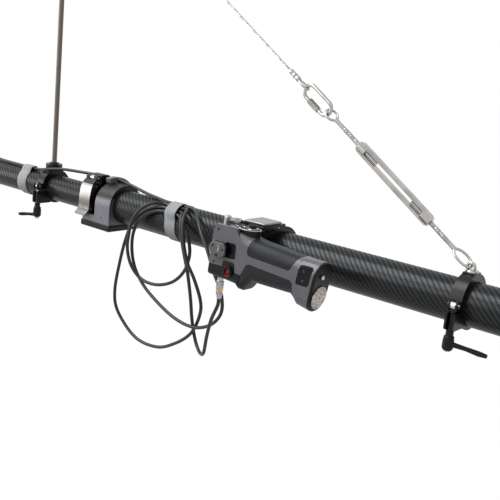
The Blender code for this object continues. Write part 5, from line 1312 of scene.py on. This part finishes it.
# %% Cable route
CABLE_DIAMETER = 0.0047
CABLE_SIDES = 16
CABLE_STEP = 0.004
STRAND_CLEARANCE = 0.0004
STRAND_RADIUS = MAIN_RADIUS + STRAND_CLEARANCE + CABLE_DIAMETER / 2
STRAND_STRAIGHT = 0.013
STRAP_X = 0.149
STRAND_ANGLES = (20.0, 32.0, 44.0, 56.0)
BOOM_RUN = [
    (-0.312, -0.001, 0.0255), (-0.285, -0.004, 0.0233), (-0.225, -0.005, 0.0228), (-0.1995, -0.005, 0.0228),
    (-0.176, -0.007, 0.0238), (-0.150, -0.0165, 0.0278), (-0.113, -0.010, 0.0340), (-0.072, 0.0008, 0.0352),
    (-0.046, 0.0072, 0.0352), (-0.025, 0.0082, 0.0352), (-0.012, 0.0077, 0.0354), (0.003, 0.0061, 0.0356),
    (0.017, 0.0035, 0.0356), (0.031, 0.0012, 0.0350), (0.0565, 0.0002, 0.0313), (0.078, -0.002, 0.0285),
    (0.105, -0.006, 0.0270), (0.122, -0.009, 0.0263),
]
LONG_LOOP = [
    (0.176, -0.0110, 0.0260), (0.191, -0.0190, 0.0228), (0.206, -0.0300, 0.0160), (0.221, -0.0390, 0.0050),
    (0.239, -0.045, -0.012), (0.260, -0.050, -0.040), (0.276, -0.052, -0.061), (0.280, -0.052, -0.085),
    (0.268, -0.051, -0.104), (0.247, -0.050, -0.117), (0.225, -0.049, -0.122), (0.192, -0.046, -0.120),
    (0.152, -0.043, -0.107), (0.117, -0.039, -0.090), (0.095, -0.036, -0.068), (0.087, -0.035, -0.041),
    (0.089, -0.034, -0.019), (0.099, -0.032, -0.001), (0.118, -0.0258, 0.0125),
]
SHORT_LOOP = [
    (0.176, -0.0290, 0.0090), (0.191, -0.033, -0.005), (0.199, -0.034, -0.024), (0.198, -0.034, -0.040),
    (0.191, -0.035, -0.058), (0.174, -0.037, -0.075), (0.147, -0.041, -0.085), (0.118, -0.043, -0.083),
    (0.099, -0.045, -0.068), (0.089, -0.045, -0.046), (0.090, -0.045, -0.024), (0.095, -0.0435, -0.001),
    (0.104, -0.0360, 0.0160), (0.116, -0.0240, 0.0242), (0.126, -0.0150, 0.0241),
]
LOW_LOOP = [
    (0.171, -0.0170, 0.0248), (0.180, -0.0285, 0.0230), (0.188, -0.0405, 0.0140), (0.195, -0.0457, -0.0020),
    (0.200, -0.046, -0.020), (0.208, -0.046, -0.039), (0.222, -0.046, -0.057), (0.236, -0.045, -0.084),
    (0.237, -0.044, -0.099), (0.228, -0.044, -0.126), (0.217, -0.044, -0.140), (0.196, -0.044, -0.156),
    (0.163, -0.043, -0.172), (0.121, -0.043, -0.173), (0.088, -0.041, -0.158), (0.067, -0.040, -0.137),
    (0.063, -0.040, -0.115), (0.070, -0.040, -0.069), (0.080, -0.040, -0.031), (0.088, -0.037, -0.008),
    (0.100, -0.0297, 0.0090), (0.118, -0.0213, 0.0183),
]
DROP = [
    (0.168, -0.0222, 0.0198), (0.176, -0.0315, 0.0160), (0.183, -0.0385, 0.0050), (0.189, -0.0405, -0.0120),
    (0.195, -0.040, -0.031), (0.202, -0.039, -0.051), (0.211, -0.038, -0.086), (0.219, -0.038, -0.122),
    (0.232, -0.041, -0.147), (0.247, -0.048, -0.154), (0.259, -0.056, -0.148), (0.270, -0.065, -0.119),
    (0.281, -0.072, -0.092),
]


def through_strap(degrees):
    """Three points that carry the cable straight through the right strap."""
    a = math.radians(degrees)
    spot = (-STRAND_RADIUS * math.sin(a), STRAND_RADIUS * math.cos(a))
    return [(STRAP_X + dx, *spot) for dx in (-STRAND_STRAIGHT, 0, STRAND_STRAIGHT)]


def cable_route():
    """The route's points in the frame, from the rear connector to the plug."""
    first, second, third, last = (through_strap(a) for a in STRAND_ANGLES)
    hung = [*BOOM_RUN, *first, *LONG_LOOP, *last, *SHORT_LOOP, *second, *LOW_LOOP, *third, *DROP]
    route = [Vector(p) + Vector((0, 0, TUBE_AXIS_HEIGHT)) for p in hung]
    leave = Vector((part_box("rear_connector")[1].x, 0, TUBE_AXIS_HEIGHT + REAR_PLUG_HEIGHT))
    plug = Vector((*middle("cable_plug").xy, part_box("cable_plug")[0].z))
    out = Vector((CABLE_DIAMETER, 0, 0))
    down = Vector((0, 0, -1.5 * CABLE_DIAMETER))
    return [leave, leave + out, *route, plug + down, plug]


def smooth_curve(route, step):
    """Evenly spaced points on a smooth curve that passes through every point of the route."""
    ends = [2 * route[0] - route[1], *route, 2 * route[-1] - route[-2]]
    fine = []
    pieces = 12
    for i in range(1, len(ends) - 2):
        p0, p1, p2, p3 = ends[i - 1 : i + 3]
        t0 = 0.0
        t1 = t0 + math.sqrt((p1 - p0).length)
        t2 = t1 + math.sqrt((p2 - p1).length)
        t3 = t2 + math.sqrt((p3 - p2).length)
        for k in range(pieces):
            t = t1 + (t2 - t1) * k / pieces
            a1 = p0.lerp(p1, (t - t0) / (t1 - t0))
            a2 = p1.lerp(p2, (t - t1) / (t2 - t1))
            a3 = p2.lerp(p3, (t - t2) / (t3 - t2))
            b1 = a1.lerp(a2, (t - t0) / (t2 - t0))
            b2 = a2.lerp(a3, (t - t1) / (t3 - t1))
            fine.append(b1.lerp(b2, (t - t1) / (t2 - t1)))
    fine.append(route[-1])
    return respace(fine, step)


def respace(points, step):
    """The same line with its points at even steps, and its length."""
    reach = [0.0]
    for a, b in zip(points, points[1:]):
        reach.append(reach[-1] + (b - a).length)
    count = max(2, round(reach[-1] / step) + 1)
    spaced = []
    i = 0
    for k in range(count):
        target = reach[-1] * k / (count - 1)
        while i < len(points) - 2 and reach[i + 1] < target:
            i += 1
        share = (target - reach[i]) / max(reach[i + 1] - reach[i], 1e-9)
        spaced.append(points[i].lerp(points[i + 1], share))
    return spaced, reach[-1]


# %% Cables
LEAD_RADIUS = 0.0019
LEAD_REACH = 0.0173
LEAD_ROUTE = [(0.3115, -0.0570, 0.0388), (0.3165, -0.0525, 0.0362), (0.3180, -0.0485, 0.0332),
              (0.3180, -0.0462, 0.0326), (0.3180, -0.0420, 0.0326)]
route = cable_route()
cable_line, cable_length = smooth_curve(route, CABLE_STEP)
cable = form("control_cable", tube(cable_line, CABLE_DIAMETER / 2, CABLE_SIDES))
coat(cable, "cable_jacket")
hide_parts("cable_boom_run", "cable_loops")
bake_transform(cable)
print(f"cable {cable_length:.3f} m in {len(cable_line)} points")

lead_route = [Vector((x, y, z + TUBE_AXIS_HEIGHT)) for x, y, z in LEAD_ROUTE]
lead_start = ANGLE_PLUG_FOOT + LEAD_REACH * ANGLE_PLUG_ALONG
lead_line, lead_length = smooth_curve([lead_start, *lead_route], LEAD_RADIUS / 2)
stand_for(form("angle_lead", tube(lead_line, LEAD_RADIUS, CABLE_SIDES)), "angle_cable")
print(f"short lead {lead_length:.3f} m")
